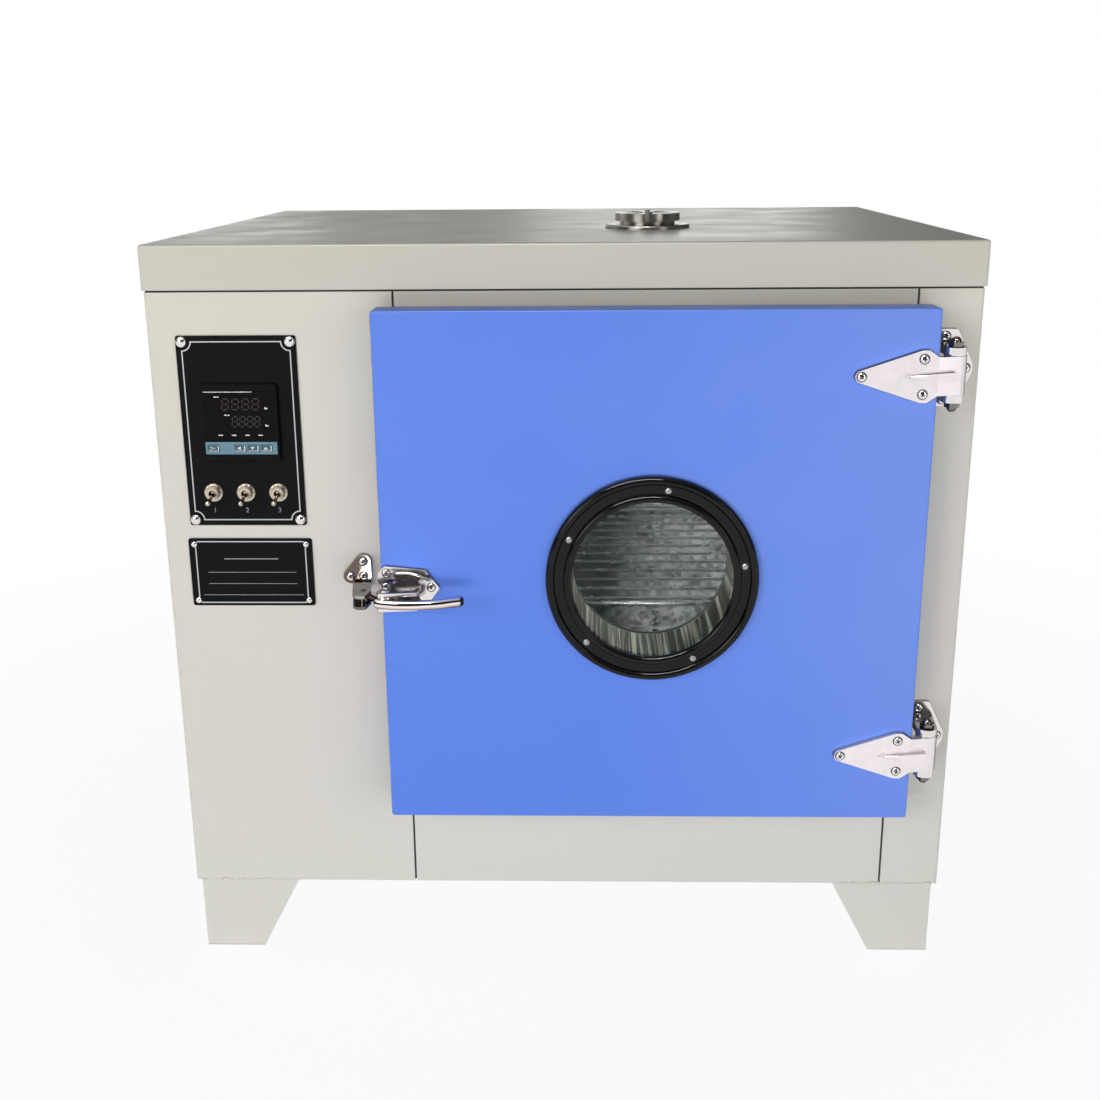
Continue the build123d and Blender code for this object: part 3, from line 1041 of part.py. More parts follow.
# ------------------------------------------------------------------ hinges, drawn about the pin axis
def hinge_leaf():
    """Cast leaf: pointed plate on the door face, tapered rib, and a barrel round the pin."""
    tip = -LEAF_REACH
    edge = -PIN_OUT
    shoulder = -LEAF_SCREW_OUT
    tip_angle = math.asin((LEAF_HALF - LEAF_TIP_RADIUS) / (shoulder - tip))
    up = (tip - LEAF_TIP_RADIUS * math.sin(tip_angle), LEAF_TIP_RADIUS * math.cos(tip_angle))
    neck = edge - 1.5
    side = [(shoulder - 2, LEAF_HALF), (shoulder + 4, LEAF_HALF), (neck, BARREL_HALF)]
    upper = [up] + side
    lower = [(x, -z) for x, z in reversed(upper)]
    nose = ThreePointArc(lower[-1], (tip - LEAF_TIP_RADIUS, 0), up)
    outline = make_face([Polyline(*upper, *lower), nose])
    face = -PIN_BACK
    front = face - LEAF_THICKNESS
    plate = facing(outline, face, LEAF_THICKNESS)
    arm = polygon([(neck - 2, face), (edge + 0.4, face), (-BARREL_RADIUS * 0.7, -2),
                   (0, -BARREL_RADIUS * 0.6), (0, -BARREL_RADIUS), (neck, front), (neck - 2, front)])
    leaf = plate + level(arm, -BARREL_HALF, BARREL_HALF)
    leaf += Cylinder(BARREL_RADIUS, 2 * BARREL_HALF)
    root = front + RIB_SINK
    start = Plane(origin=(-RIB_LENGTH, root, 0), z_dir=(1, 0, 0))
    end = Plane(origin=(-BARREL_RADIUS * 0.3, root, 0), z_dir=(1, 0, 0))
    rib = loft([start * Rectangle(2 * RIB_START_HEIGHT, 2 * RIB_START_HALF),
                end * Rectangle(2 * RIB_HEIGHT, 2 * RIB_HALF)])
    rib = fillet(rib.edges().sort_by(SortBy.LENGTH)[-4:], RIB_ROUND)
    rib = rib & block((-RIB_LENGTH, 0), (front - RIB_HEIGHT, front + LEAF_THICKNESS / 2),
                      (-RIB_HALF, RIB_HALF))
    nose = rod_y(-RIB_LENGTH, 0, RIB_START_HALF, root - RIB_START_HEIGHT, root)
    leaf = leaf + rib + nose
    leaf -= Pos(-RIB_LENGTH - DIMPLE_OUT, front, 0) * Sphere(DIMPLE_RADIUS)
    return leaf - Cylinder(PIN_RADIUS + PIN_CLEARANCE, 4 * BARREL_HALF)


def hinge_bracket():
    """Cabinet half: pointed plate on the front and two lugs that hold the pin."""
    base = -PIN_Y
    shoulder = (BRACKET_SHOULDER, BRACKET_HALF)
    upper = [(BRACKET_TIP, BRACKET_NOSE), shoulder, (-BRACKET_LEFT, BRACKET_HALF)]
    outline = polygon([(x, -z) for x, z in reversed(upper)] + upper)
    plate = rounded_y(facing(outline, base, BRACKET_THICKNESS), 2.5)
    radius = BARREL_RADIUS - 0.5
    lug = polygon([(-radius, 0), (-radius, base - BRACKET_THICKNESS), (radius + 3, base - BRACKET_THICKNESS),
                   (radius, 0)]) + Circle(radius)
    for low in (LUG_LOW, -LUG_HIGH):
        plate += level(lug, low, low + LUG_THICKNESS)
    return plate - Cylinder(PIN_RADIUS, 4 * BRACKET_HALF)


def hinge_pin():
    """Pin with an acorn nut on each end."""
    nut = extrude(RegularPolygon(NUT_FLATS / 2, 6, major_radius=False), NUT_HEIGHT)
    dome = Pos(0, 0, NUT_HEIGHT) * (Sphere(DOME_RADIUS) & Cylinder(DOME_RADIUS, DOME_RADIUS, align=RISING))
    top = Pos(0, 0, LUG_HIGH) * (nut + dome)
    return Cylinder(PIN_RADIUS, 2 * LUG_HIGH) + top + mirror(top, Plane.XY)


def at_hinge(solid, height):
    return Pos(PIN_X, PIN_Y, height) * solid


# ------------------------------------------------------------------ latch, drawn about the lever pivot
def latch_strike():
    """Cabinet half: three-screw plate and a forked nose that carries the roller."""
    plate = facing(hull(*[(x, z, STRIKE_ROUND) for x, z in STRIKE_SCREWS]), FRONT_DY, STRIKE_PLATE)
    back = FRONT_DY - STRIKE_PLATE + 1
    nose = polygon([(-41, back), (ROLLER_DX - 8, -2), (ROLLER_DX - 4, -7.5), (ROLLER_DX + 4, -7.5),
                    (ROLLER_DX + 7, ROLLER_DY), (ROLLER_DX + 5, ROLLER_DY + 14), (-25, back)])
    nose = level(nose, 3 * NOSE_ROOT, FORK_HALF)
    nose = fillet(nose.edges().filter_by(Axis.Z).sort_by(Axis.Y)[0:4], 2.5)
    slot_back = ROLLER_DY + 22
    rise = Polyline((back, 2 * NOSE_ROOT), (back, NOSE_ROOT), (back - 7, NOSE_ROOT), (slot_back, FORK_HALF),
                    (-20, FORK_HALF), (-20, -FORK_HALF), (slot_back + 5, -FORK_HALF), close=True)
    nose = nose & extrude(Plane.YZ * make_face(rise), 60, both=True)
    nose -= block((-60, 0), (-20, slot_back), (-FORK_SLOT, FORK_SLOT))
    return plate + nose - Pos(ROLLER_DX, ROLLER_DY) * Cylinder(LATCH_PIN_RADIUS * 0.7, 40)


def strike_roller():
    """Roller between the fork's lugs, on a pin with rounded ends."""
    pin = LATCH_PIN_RADIUS * 0.7
    roller = Cylinder(ROLLER_RADIUS, 2 * FORK_SLOT - 0.4) + Cylinder(pin, 2 * FORK_HALF + 1.6)
    return Pos(ROLLER_DX, ROLLER_DY) * roller


def latch_base():
    """Door half: pointed plate and two ears with the pivot between them."""
    face = DOOR_DY
    outline = polygon([(-10.7, 7.5), (-10.7, 16.1), (-4.2, 22.6), (33.5, 19.0), (46.1, 1.4),
                       (33.5, -16.0), (5.0, -16.0)])
    plate = rounded_y(facing(outline, face, LATCH_PLATE), 1.5)
    back = face - LATCH_PLATE + 1
    ear = polygon([(9, back), (26, back), (31, 15), (29, -4), (0, -EYE_RADIUS), (0, EYE_RADIUS - 1)])
    ear = ear + Circle(EYE_RADIUS)
    inner = EYE_HALF + EAR_GAP
    plate += level(ear, inner, inner + EAR_THICKNESS)
    plate += level(ear, -inner - EAR_THICKNESS, -inner)
    route = ThreePointArc(*[(x, face - LATCH_PLATE, z) for x, z in LATCH_RIB])
    plate += sweep(Plane(origin=route @ 0, z_dir=route % 0) * Circle(LATCH_RIB_RADIUS), route)
    plate += [Pos(*(route @ end)) * Sphere(LATCH_RIB_RADIUS) for end in (0, 1)]
    return plate - Cylinder(LATCH_PIN_RADIUS, 60)


def latch_pin():
    """Pivot pin with a low head on each ear."""
    reach = EYE_HALF + EAR_GAP + EAR_THICKNESS
    head = Pos(0, 0, reach) * Cone(LATCH_PIN_RADIUS + 1.5, LATCH_PIN_RADIUS, 1.5, align=RISING)
    return Cylinder(LATCH_PIN_RADIUS, 2 * reach) + head + mirror(head, Plane.XY)


def latch_lever():
    """Bowed bar handle, pivot eye, and a hooked finger that seats behind the roller."""
    bar = SlotArc(ThreePointArc(*LEVER_ARC), LEVER_BAR)
    bar = level(bar, -LEVER_HALF, LEVER_HALF)
    bar = fillet(bar.edges(), 2.2)
    web = level(hull((0, 0, EYE_RADIUS - 1), (14, -9, 3.0)), -LEVER_HALF, LEVER_HALF)
    eye = Cylinder(EYE_RADIUS, 2 * EYE_HALF)
    elbow = (-10.5, 10.5, FINGER_ROOT)
    root = level(hull((0, 0, FINGER_ROOT + 1.5), elbow), -FINGER_HALF, FINGER_HALF)
    tip = (ROLLER_DX - 1, ROLLER_DY + FINGER_REACH, FINGER_TIP)
    finger = level(hull(elbow, tip), -FINGER_HALF, FINGER_HALF)
    seat = Pos(ROLLER_DX, ROLLER_DY) * Cylinder(ROLLER_RADIUS + ROLLER_GAP, 40)
    lever = bar + web + eye + root + finger - seat
    return lever - Cylinder(LATCH_PIN_RADIUS + PIN_CLEARANCE, 60)


def at_pivot(solid):
    return Pos(PIVOT_X, PIVOT_Y, LATCH_Z) * solid


# ------------------------------------------------------------------ fasteners
def cabinet_screws():
    """Heads on the cabinet: strike, hinge brackets and the rim of the back panel."""
    heads = [screw_head(PIVOT_X + x, LATCH_Z + z, -STRIKE_PLATE, SCREW_RADIUS)
             for x, z in STRIKE_SCREWS]
    for height in HINGE_HEIGHTS:
        heads += [screw_head(PIN_X + x, height + z, -BRACKET_THICKNESS, SCREW_RADIUS)
                  for x, z in BRACKET_SCREWS]
    for at_x in (LEFT + REAR_SCREW_INSET, RIGHT - REAR_SCREW_INSET):
        for share in REAR_SCREW_SHARES:
            head = screw_head(at_x, 0, 0, SCREW_RADIUS)
            heads.append(Pos(0, BODY_DEPTH, FLOOR + share * BODY_HEIGHT) * mirror(head, Plane.XZ))
    return heads


def door_screws():
    """Heads on the door face: hinge leaves and latch plate."""
    heads = []
    for height in HINGE_HEIGHTS:
        heads += [screw_head(PIN_X + x, height + z, DOOR_FACE - LEAF_THICKNESS, SCREW_RADIUS)
                  for x, z in LEAF_SCREWS]
    heads += [screw_head(PIVOT_X + x, LATCH_Z + z, DOOR_FACE - LATCH_PLATE,
                         PLATE_SCREW_RADIUS, PLATE_SCREW_HEIGHT) for x, z in PLATE_SCREWS]
    return heads


# ------------------------------------------------------------------ build
def build():
    os.makedirs("parts", exist_ok=True)
    save("left_wrapper", left_wrapper())
    save("right_wrapper", right_wrapper())
    save("front_frame", front_frame())
    save("back_panel", back_panel())
    save("top_cover", top_cover())
    save("seam_seals", *seam_seals())
    save("bottom_pan", bottom_pan())
    save("feet", *[foot(i, k) for i in (-1, 1) for k in (-1, 1)])
    save("compartment_wall", compartment_wall())
    save("chamber_liner", chamber_liner())
    save("chamber_floor", chamber_floor())
    save("shelf_rails", *shelf_rails())
    save("heating_elements", *heating_elements())
    save("cabinet_insulation", cabinet_insulation())
    save("blower_housing", blower_housing())
    save("blower_wheel", blower_wheel())
    save("motor_shaft", motor_shaft())
    save("blower_motor", blower_motor())
    save("motor_bracket", motor_bracket())
    save("temperature_probe", temperature_probe())
    save("power_relay", power_relay())
    save("terminal_block", terminal_block())
    save("cable_gland", cable_gland())
    save("vent_pipe", vent_pipe())
    save("vent_base", vent_base())
    save("vent_rotor", vent_rotor())
    save("control_plate", control_plate())
    save("name_plate", name_plate())
    save("panel_screws", *panel_screws())
    save("controller_case", controller_case())
    save("controller_lens", controller_lens())
    for name, offset in KEY_COLUMNS.items():
        save(name, key(offset))
    save("toggle_switches", *[toggle_switch(offset) for offset in TOGGLES.values()])
    for name, offset in TOGGLES.items():
        save(name, toggle_lever(offset))
    save("door_shell", door_shell())
    save("door_inner_panel", door_inner_panel())
    save("door_insulation", door_insulation())
    save("door_gasket", door_gasket())
    save("window_bezel", window_bezel())
    save("window_screws", *window_screws())
    save("window_panes", *window_panes())
    save("window_barrel", window_barrel())
    save("window_inner_ring", window_inner_ring())
    save("hinge_leaves", *[at_hinge(hinge_leaf(), height) for height in HINGE_HEIGHTS])
    save("hinge_brackets", *[at_hinge(hinge_bracket(), height) for height in HINGE_HEIGHTS])
    save("hinge_pins", *[at_hinge(hinge_pin(), height) for height in HINGE_HEIGHTS])
    save("latch_strike", at_pivot(latch_strike()))
    save("strike_roller", at_pivot(strike_roller()))
    save("latch_base", at_pivot(latch_base()))
    save("latch_pin", at_pivot(latch_pin()))
    save("latch_lever", at_pivot(latch_lever()))
    save("cabinet_screws", *cabinet_screws())
    save("door_screws", *door_screws())
    for name, height in SHELF_HEIGHTS.items():
        save(name, shelf(height))


build()
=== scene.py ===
import json
import math
import random

import bmesh
import bpy
from mathutils import Matrix, Vector


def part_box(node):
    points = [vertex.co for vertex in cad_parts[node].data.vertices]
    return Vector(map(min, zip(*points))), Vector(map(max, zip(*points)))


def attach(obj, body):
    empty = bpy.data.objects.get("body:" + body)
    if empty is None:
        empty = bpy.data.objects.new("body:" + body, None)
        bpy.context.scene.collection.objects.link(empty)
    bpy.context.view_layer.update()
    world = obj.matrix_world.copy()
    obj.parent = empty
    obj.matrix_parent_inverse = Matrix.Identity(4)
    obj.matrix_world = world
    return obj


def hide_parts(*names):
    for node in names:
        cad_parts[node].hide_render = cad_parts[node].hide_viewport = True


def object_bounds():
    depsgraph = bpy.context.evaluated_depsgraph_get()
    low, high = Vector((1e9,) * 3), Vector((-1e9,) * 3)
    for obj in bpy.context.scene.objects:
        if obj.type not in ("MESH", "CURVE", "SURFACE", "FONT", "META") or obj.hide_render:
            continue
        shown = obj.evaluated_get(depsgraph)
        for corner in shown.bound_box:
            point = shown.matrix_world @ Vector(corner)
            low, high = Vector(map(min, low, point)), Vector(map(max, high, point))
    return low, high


# Looks of the drying oven.  Everything is in metres in the row frame: +X right, -Y front, +Z up.
# The CAD nodes get their materials here, and the pieces that are only drawn ride on their bodies.
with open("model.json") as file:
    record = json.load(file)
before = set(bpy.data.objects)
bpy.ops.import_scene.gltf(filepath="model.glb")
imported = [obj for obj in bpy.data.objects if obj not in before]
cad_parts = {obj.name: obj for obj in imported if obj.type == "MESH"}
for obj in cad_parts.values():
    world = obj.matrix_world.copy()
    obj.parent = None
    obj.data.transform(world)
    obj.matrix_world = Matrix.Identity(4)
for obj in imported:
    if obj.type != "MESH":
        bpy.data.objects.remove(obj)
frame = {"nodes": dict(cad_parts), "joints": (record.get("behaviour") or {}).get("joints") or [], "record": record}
nodes = frame["nodes"]
cad_low, cad_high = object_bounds()

MM = 0.001
UP = Vector((0, 0, 1))
FRONT = Vector((0, -1, 0))

# ------------------------------------------------------------------ camera
# solved from the lines of the cabinet, the door, the plates and the window in the picture
CAMERA_PLACE = Vector((0.02370, -1.51159, 0.80321))
CAMERA_YAW = math.radians(1.63)
CAMERA_DOWN = math.radians(16.69)
CAMERA_ROLL = math.radians(-0.48)
CAMERA_LENS = 44.71        # mm
CAMERA_SENSOR = 36.0

# ------------------------------------------------------------------ places read from the frame
joint_places = {joint["name"]: Vector(joint.get("pos_m", (0, 0, 0))) for joint in frame["joints"]}
plate_low, plate_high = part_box("control_plate")
name_low, name_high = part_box("name_plate")
case_low, case_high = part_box("controller_case")
lens_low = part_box("controller_lens")[0]
lever_low, lever_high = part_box("latch_lever")
strike_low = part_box("latch_strike")[0]
PANEL_FACE = plate_low.y
CASE_FACE = case_low.y
CASE_CENTRE = Vector(((case_low.x + case_high.x) / 2, CASE_FACE, (case_low.z + case_high.z) / 2))
LEVER_HEIGHT = (lever_low.z + lever_high.z) / 2
LEVER_HALF = 4.0 * MM      # half height of the lever's bar
# x where the lever's painted reflection turns dark at its tip
LEVER_TIP = (lever_high.x - 4.0 * MM, lever_high.x - 2.0 * MM)
# x where the strike's painted dark reflection on its left gives way to its chrome
STRIKE_TURN = (strike_low.x + 14.0 * MM, strike_low.x + 22.0 * MM)


# ------------------------------------------------------------------ materials
# depths of the bumps
HAIRLINE = 0.03 * MM
CAST_PORES = 0.05 * MM
ORANGE_PEEL = 0.06 * MM
CRYSTAL_STEP = 0.12 * MM
SLEEVE_STREAK = 0.2 * MM
WOOL_PILE = 2.0 * MM
BRUSH_MARK = 0.04 * MM

GAP_REACH = 2.6 * MM       # how far the painted shade beside a fitting spreads
GAP_RANGE = (0.30, 0.82)
TOP_FADE = (0.72, 0.40)    # heights between which the cabinet's top tone gives way to its middle one
FOOT_FADE = (0.36, 0.10)
DOOR_SHEEN_FADE = (0.02, 0.34)   # x from the door's left tone to its paler right one, a painted sheen
LINER_TURN = (0.055, 0.120)    # x where the chamber's painted shade gives way to its bright side


def srgb(red, green, blue):
    """A colour read as 0-255 display values, as the linear values that Blender works in."""
    def linear(value):
        share = value / 255
        return share / 12.92 if share <= 0.04045 else ((share + 0.055) / 1.055) ** 2.4
    return (linear(red), linear(green), linear(blue))


def darker(colour, share):
    return tuple(channel * share for channel in colour)


class Graph:
    """Short calls for the nodes of a material or of the world.  Noise scales are per metre."""

    def __init__(self, tree, place):
        self.tree = tree
        self.place = self.add("ShaderNodeTexCoord").outputs[place]

    def add(self, kind, **settings):
        node = self.tree.nodes.new(kind)
        for key, value in settings.items():
            setattr(node, key, value)
        return node

    def link(self, output, socket):
        self.tree.links.new(output, socket)

    def fill(self, socket, value):
        """Links an output to a socket, or sets it to a colour or a number."""
        if isinstance(value, bpy.types.NodeSocket):
            self.link(value, socket)
        elif isinstance(value, tuple):
            socket.default_value = (*value, 1)
        else:
            socket.default_value = value

    def stretched(self, scale):
        mapping = self.add("ShaderNodeMapping")
        mapping.inputs["Scale"].default_value = scale
        self.link(self.place, mapping.inputs["Vector"])
        return mapping.outputs["Vector"]

    def noise(self, scale, detail=2.0, stretch=None, roughness=0.5):
        node = self.add("ShaderNodeTexNoise")
        for socket, value in (("Scale", scale), ("Detail", detail), ("Roughness", roughness)):
            node.inputs[socket].default_value = value
        self.link(self.stretched(stretch) if stretch else self.place, node.inputs["Vector"])
        return node.outputs["Fac"]

    def span(self, value, low, high, start=0.0, end=1.0):
        """value, from start to end, moved to low..high."""
        node = self.add("ShaderNodeMapRange")
        for socket, number in (("From Min", start), ("From Max", end), ("To Min", low), ("To Max", high)):
            node.inputs[socket].default_value = number
        self.link(value, node.inputs["Value"])
        return node.outputs["Result"]

    def along(self, axis, start, end, low=0.0, high=1.0):
        """low to high from start to end along an axis."""
        node = self.add("ShaderNodeSeparateXYZ")
        self.link(self.place, node.inputs["Vector"])
        return self.span(node.outputs[axis], low, high, start, end)

    def maths(self, operation, first, second):
        node = self.add("ShaderNodeMath", operation=operation)
        self.fill(node.inputs[0], first)
        self.fill(node.inputs[1], second)
        return node.outputs["Value"]

    def mix(self, share, first, second, blend="MIX"):
        """Colour mix; first and second are colours or outputs."""
        node = self.add("ShaderNodeMix", data_type="RGBA", blend_type=blend)
        self.fill(node.inputs["Factor"], share)
        self.fill(node.inputs[6], first)
        self.fill(node.inputs[7], second)
        return node.outputs[2]

    def seen_by(self, *rays):
        """1 for the kinds of ray named, 0 for the rest."""
        paths = self.add("ShaderNodeLightPath")
        mask = paths.outputs[rays[0]]
        for ray in rays[1:]:
            mask = self.maths("MAXIMUM", mask, paths.outputs[ray])
        return mask

    def either(self, mask, first, second):
        """The first shader where mask is 0, the second where it is 1."""
        node = self.add("ShaderNodeMixShader")
        self.link(mask, node.inputs["Fac"])
        self.link(first, node.inputs[1])
        self.link(second, node.inputs[2])
        return node.outputs["Shader"]


class Look(Graph):
    """A Principled material with short calls for the procedural detail on it."""

    def __init__(self, name, colour, roughness, metallic=0.0, **sockets):
        self.material = bpy.data.materials.new(name)
        self.material.use_nodes = True
        super().__init__(self.material.node_tree, "Object")
        self.shader = self.tree.nodes["Principled BSDF"]
        self.shader.inputs["Base Color"].default_value = (*colour, 1)
        self.shader.inputs["Roughness"].default_value = roughness
        self.shader.inputs["Metallic"].default_value = metallic
        for socket, value in sockets.items():
            self.shader.inputs[socket.replace("_", " ")].default_value = value

    def cells(self, scale):
        """One random grey for each crystal of a spangled surface."""
        node = self.add("ShaderNodeTexVoronoi")
        node.inputs["Scale"].default_value = scale
        self.link(self.place, node.inputs["Vector"])
        grey = self.add("ShaderNodeRGBToBW")
        self.link(node.outputs["Color"], grey.inputs["Color"])
        return grey.outputs["Val"]

    def painted_rim_shade(self, colour, dark, start, end):
        """Painted shade: colour that turns dark where the surface leans away from the viewer."""
        weight = self.add("ShaderNodeLayerWeight")
        weight.inputs["Blend"].default_value = 0.5
        return self.mix(self.span(weight.outputs["Facing"], 0.0, 1.0, start, end), colour, dark)

    def painted_gap_shade(self, colour, dark):
        """Painted shade: colour that darkens in the narrow gap beside a fitting."""
        gap = self.add("ShaderNodeAmbientOcclusion", samples=12)
        gap.inputs["Distance"].default_value = GAP_REACH
        return self.mix(self.span(gap.outputs["AO"], 0.0, 1.0, *GAP_RANGE), dark, colour)

    def coloured(self, output):
        self.link(output, self.shader.inputs["Base Color"])

    def rough(self, value, low, high, start=0.3, end=0.7):
        self.link(self.span(value, low, high, start, end), self.shader.inputs["Roughness"])

    def bumped(self, height, distance, strength):
        node = self.add("ShaderNodeBump")
        node.inputs["Distance"].default_value = distance
        node.inputs["Strength"].default_value = strength
        self.link(height, node.inputs["Height"])
        self.link(node.outputs["Normal"], self.shader.inputs["Normal"])

    def polished(self, low, high):
        """Smears in the gloss and hair-fine polishing marks."""
        self.rough(self.noise(60.0, 4.0), low, high)
        self.bumped(self.noise(260.0, 2.0, (1.0, 1.0, 4.0)), HAIRLINE, 0.35)

    def enamelled(self, scale, low, high):
        """Drifts in the gloss and a fine orange peel."""
        self.rough(self.noise(scale, 4.0), low, high)
        self.bumped(self.noise(420.0, 2.0), ORANGE_PEEL, 0.5)

    def surfaced(self, shader):
        self.link(shader, self.tree.nodes["Material Output"].inputs["Surface"])


def cabinet_paint(name, share):
    """Warm light grey enamel with faint drifts of tone, fine specks and painted shade beside fittings."""
    shades = (srgb(219, 217, 203), srgb(221, 216, 209), srgb(222, 221, 213))
    top, middle, foot = [darker(shade, share) for shade in shades]
    look = Look(name, top, 0.34)
    tone = look.mix(look.along("Z", *TOP_FADE), top, middle)
    tone = look.mix(look.along("Z", *FOOT_FADE), tone, foot)
    tone = look.mix(look.span(look.noise(3.5, 3.0), 0.0, 0.10, 0.35, 0.7), tone, srgb(205, 200, 196))
    tone = look.mix(look.span(look.noise(900.0, 1.0), 0.0, 0.05, 0.5, 0.8), tone, srgb(186, 182, 170))
    look.coloured(look.painted_gap_shade(tone, srgb(96, 92, 82)))
    look.enamelled(14.0, 0.28, 0.42)
    return look.material


def door_paint():
    """Cornflower blue enamel, with a painted sheen towards the hinges and painted shade beside fittings."""
    left, right = srgb(90, 133, 238), srgb(112, 148, 240)
    look = Look("door_paint", left, 0.36)
    tone = look.mix(look.along("X", *DOOR_SHEEN_FADE), left, right)
    tone = look.mix(look.span(look.noise(4.5, 3.0), 0.0, 0.16, 0.35, 0.7), tone, srgb(84, 126, 232))
    look.coloured(look.painted_gap_shade(tone, srgb(26, 34, 74)))
    look.enamelled(18.0, 0.30, 0.44)
    return look.material


def plated(name, colour, low, high, rim_shade=(0.45, 0.85)):
    """Bright plating with uneven polish and painted shade on its turned-away edges."""
    look = Look(name, colour, low, metallic=1.0)
    worn = look.span(look.noise(30.0, 3.0), 0.0, 0.35, 0.3, 0.75)
    look.coloured(look.painted_rim_shade(look.mix(worn, colour, darker(colour, 0.80)), darker(colour, 0.10), *rim_shade))
    look.polished(low, high)
    return look.material


def painted_reflection_chrome(name, height, half):
    """Chrome bar with painted reflections in bands along its length: warm below, dark above the middle."""
    pale, warm_reflection = srgb(240, 232, 230), srgb(136, 104, 86)
    look = Look(name, pale, 0.10, metallic=1.0)
    wave = look.span(look.noise(16.0, 2.0, (1.0, 1.0, 0.2)), -0.5, 0.5, 0.2, 0.8)
    rise = look.along("Z", height - half, height + half)
    level = look.maths("ADD", rise, look.maths("MULTIPLY", wave, 0.30))
    lower = look.mix(look.span(level, 0.0, 1.0, 0.10, 0.42), warm_reflection, pale)
    onset, ending = look.span(level, 0.0, 1.0, 0.56, 0.62), look.span(level, 1.0, 0.0, 0.80, 0.86)
    reflection_bands = look.mix(look.maths("MULTIPLY", onset, ending), lower, srgb(44, 40, 42))
    reflection_bands = look.mix(look.along("X", *LEVER_TIP), reflection_bands, srgb(40, 30, 34))
    look.coloured(look.painted_rim_shade(reflection_bands, srgb(40, 38, 40), 0.62, 0.9))
    look.polished(0.07, 0.16)
    return look.material


def chrome_with_painted_patches(name, colour, dark):
    """Chrome plate with painted reflections: warm and dark at its left, and uneven darker patches."""
    look = Look(name, colour, 0.10, metallic=1.0)
    patch = look.span(look.noise(34.0, 2.5), 0.0, 0.85, 0.50, 0.60)
    shade = look.mix(look.along("X", *STRIKE_TURN), dark, colour)
    look.coloured(look.painted_rim_shade(look.mix(patch, shade, dark), srgb(40, 38, 40), 0.55, 0.85))
    look.polished(0.08, 0.18)
    return look.material


def cast_metal():
    """Satin cast metal, faintly rose white, with fine pores and painted shade on its turned-away edges."""
    pale = srgb(246, 238, 240)
    look = Look("cast_metal", pale, 0.34, metallic=0.70)
    tone = look.mix(look.span(look.noise(120.0, 4.0), 0.0, 0.30, 0.35, 0.7), pale, darker(pale, 0.78))
    look.coloured(look.painted_rim_shade(tone, srgb(52, 50, 54), 0.46, 0.76))
    look.rough(look.noise(70.0, 3.0), 0.30, 0.46)
    look.bumped(look.noise(600.0, 2.0), CAST_PORES, 0.5)
    return look.material


def zinc(name, pale, dull, roughness, metallic):
    """Zinc-coated sheet with its frost of crystals; also gives back its tone, to be shaded further."""
    look = Look(name, pale, roughness, metallic)
    cells = look.cells(150.0)
    blotch = look.noise(26.0, 4.0, roughness=0.62)
    frost = look.span(cells, 0.0, 0.55, 0.15, 0.85)
    share = look.maths("ADD", frost, look.span(blotch, 0.0, 0.5, 0.35, 0.68))
    look.rough(cells, roughness - 0.10, roughness + 0.15, 0.2, 0.8)
    look.bumped(cells, CRYSTAL_STEP, 0.4)
    return look, look.mix(share, pale, dull)


def galvanised():
    look, tone = zinc("galvanised", srgb(222, 224, 226), srgb(112, 115, 118), 0.35, 0.85)
    look.coloured(tone)
    return look.material


def liner_zinc():
    """Chamber sheet: mottled painted shade on the blower's side, bright and mottled on the other."""
    look, tone = zinc("liner_zinc", srgb(254, 254, 255), srgb(100, 102, 106), 0.42, 0.30)
    ragged = look.span(look.noise(14.0, 3.0), -0.4, 0.4, 0.2, 0.8)
    side = look.maths("ADD", look.along("X", *LINER_TURN), ragged)
    shade_mottle = look.span(look.noise(30.0, 3.0), 0.0, 1.0, 0.35, 0.65)
    shade = look.mix(shade_mottle, srgb(46, 54, 52), srgb(84, 90, 84))
    look.coloured(look.mix(look.span(side, 0.0, 1.0), shade, tone))
    return look.material


def barrel_zinc():
    """Rolled sleeve, streaked from front to back."""
    look = Look("barrel_zinc", srgb(150, 150, 138), 0.34, metallic=0.85)
    streak = look.noise(1.0, 3.0, (240.0, 3.0, 50.0), 0.7)
    look.coloured(look.mix(look.span(streak, 0.0, 1.0, 0.48, 0.64), srgb(78, 78, 68), srgb(250, 250, 234)))
    look.rough(streak, 0.26, 0.44)
    look.bumped(streak, SLEEVE_STREAK, 0.5)
    return look.material


def brushed(name, colour):
    """Metal brushed along its width."""
    look = Look(name, colour, 0.34, metallic=1.0)
    grain = look.noise(8.0, 3.0, (3.0, 140.0, 140.0))
    look.coloured(look.mix(look.span(grain, 0.0, 0.5, 0.3, 0.7), colour, darker(colour, 0.72)))
    look.rough(grain, 0.26, 0.44)
    look.bumped(grain, BRUSH_MARK, 0.4)
    return look.material


def black_gloss(name, colour, low, high, grain=700.0, specular=0.10):
    """Black lacquer or moulded plastic with faint dust and a fine skin."""
    look = Look(name, colour, low, Specular_IOR_Level=specular)
    dust = look.span(look.noise(45.0, 5.0, roughness=0.7), 0.0, 0.07, 0.55, 0.8)
    look.coloured(look.mix(dust, colour, srgb(58, 57, 60)))
    look.rough(look.noise(35.0, 4.0), low, high)
    look.bumped(look.noise(grain, 1.0), HAIRLINE, 0.5)
    return look.material


def plain(name, colour, roughness, shade=0.8, scale=160.0):
    """Small printed or moulded piece: slight mottling and a soft skin."""
    look = Look(name, colour, roughness)
    mottle = look.span(look.noise(scale, 2.0), 0.0, 0.6, 0.3, 0.7)
    look.coloured(look.mix(mottle, colour, darker(colour, shade)))
    look.rough(look.noise(scale, 3.0), roughness - 0.08, roughness + 0.08)
    look.bumped(look.noise(scale * 4, 1.0), HAIRLINE, 0.4)
    return look.material


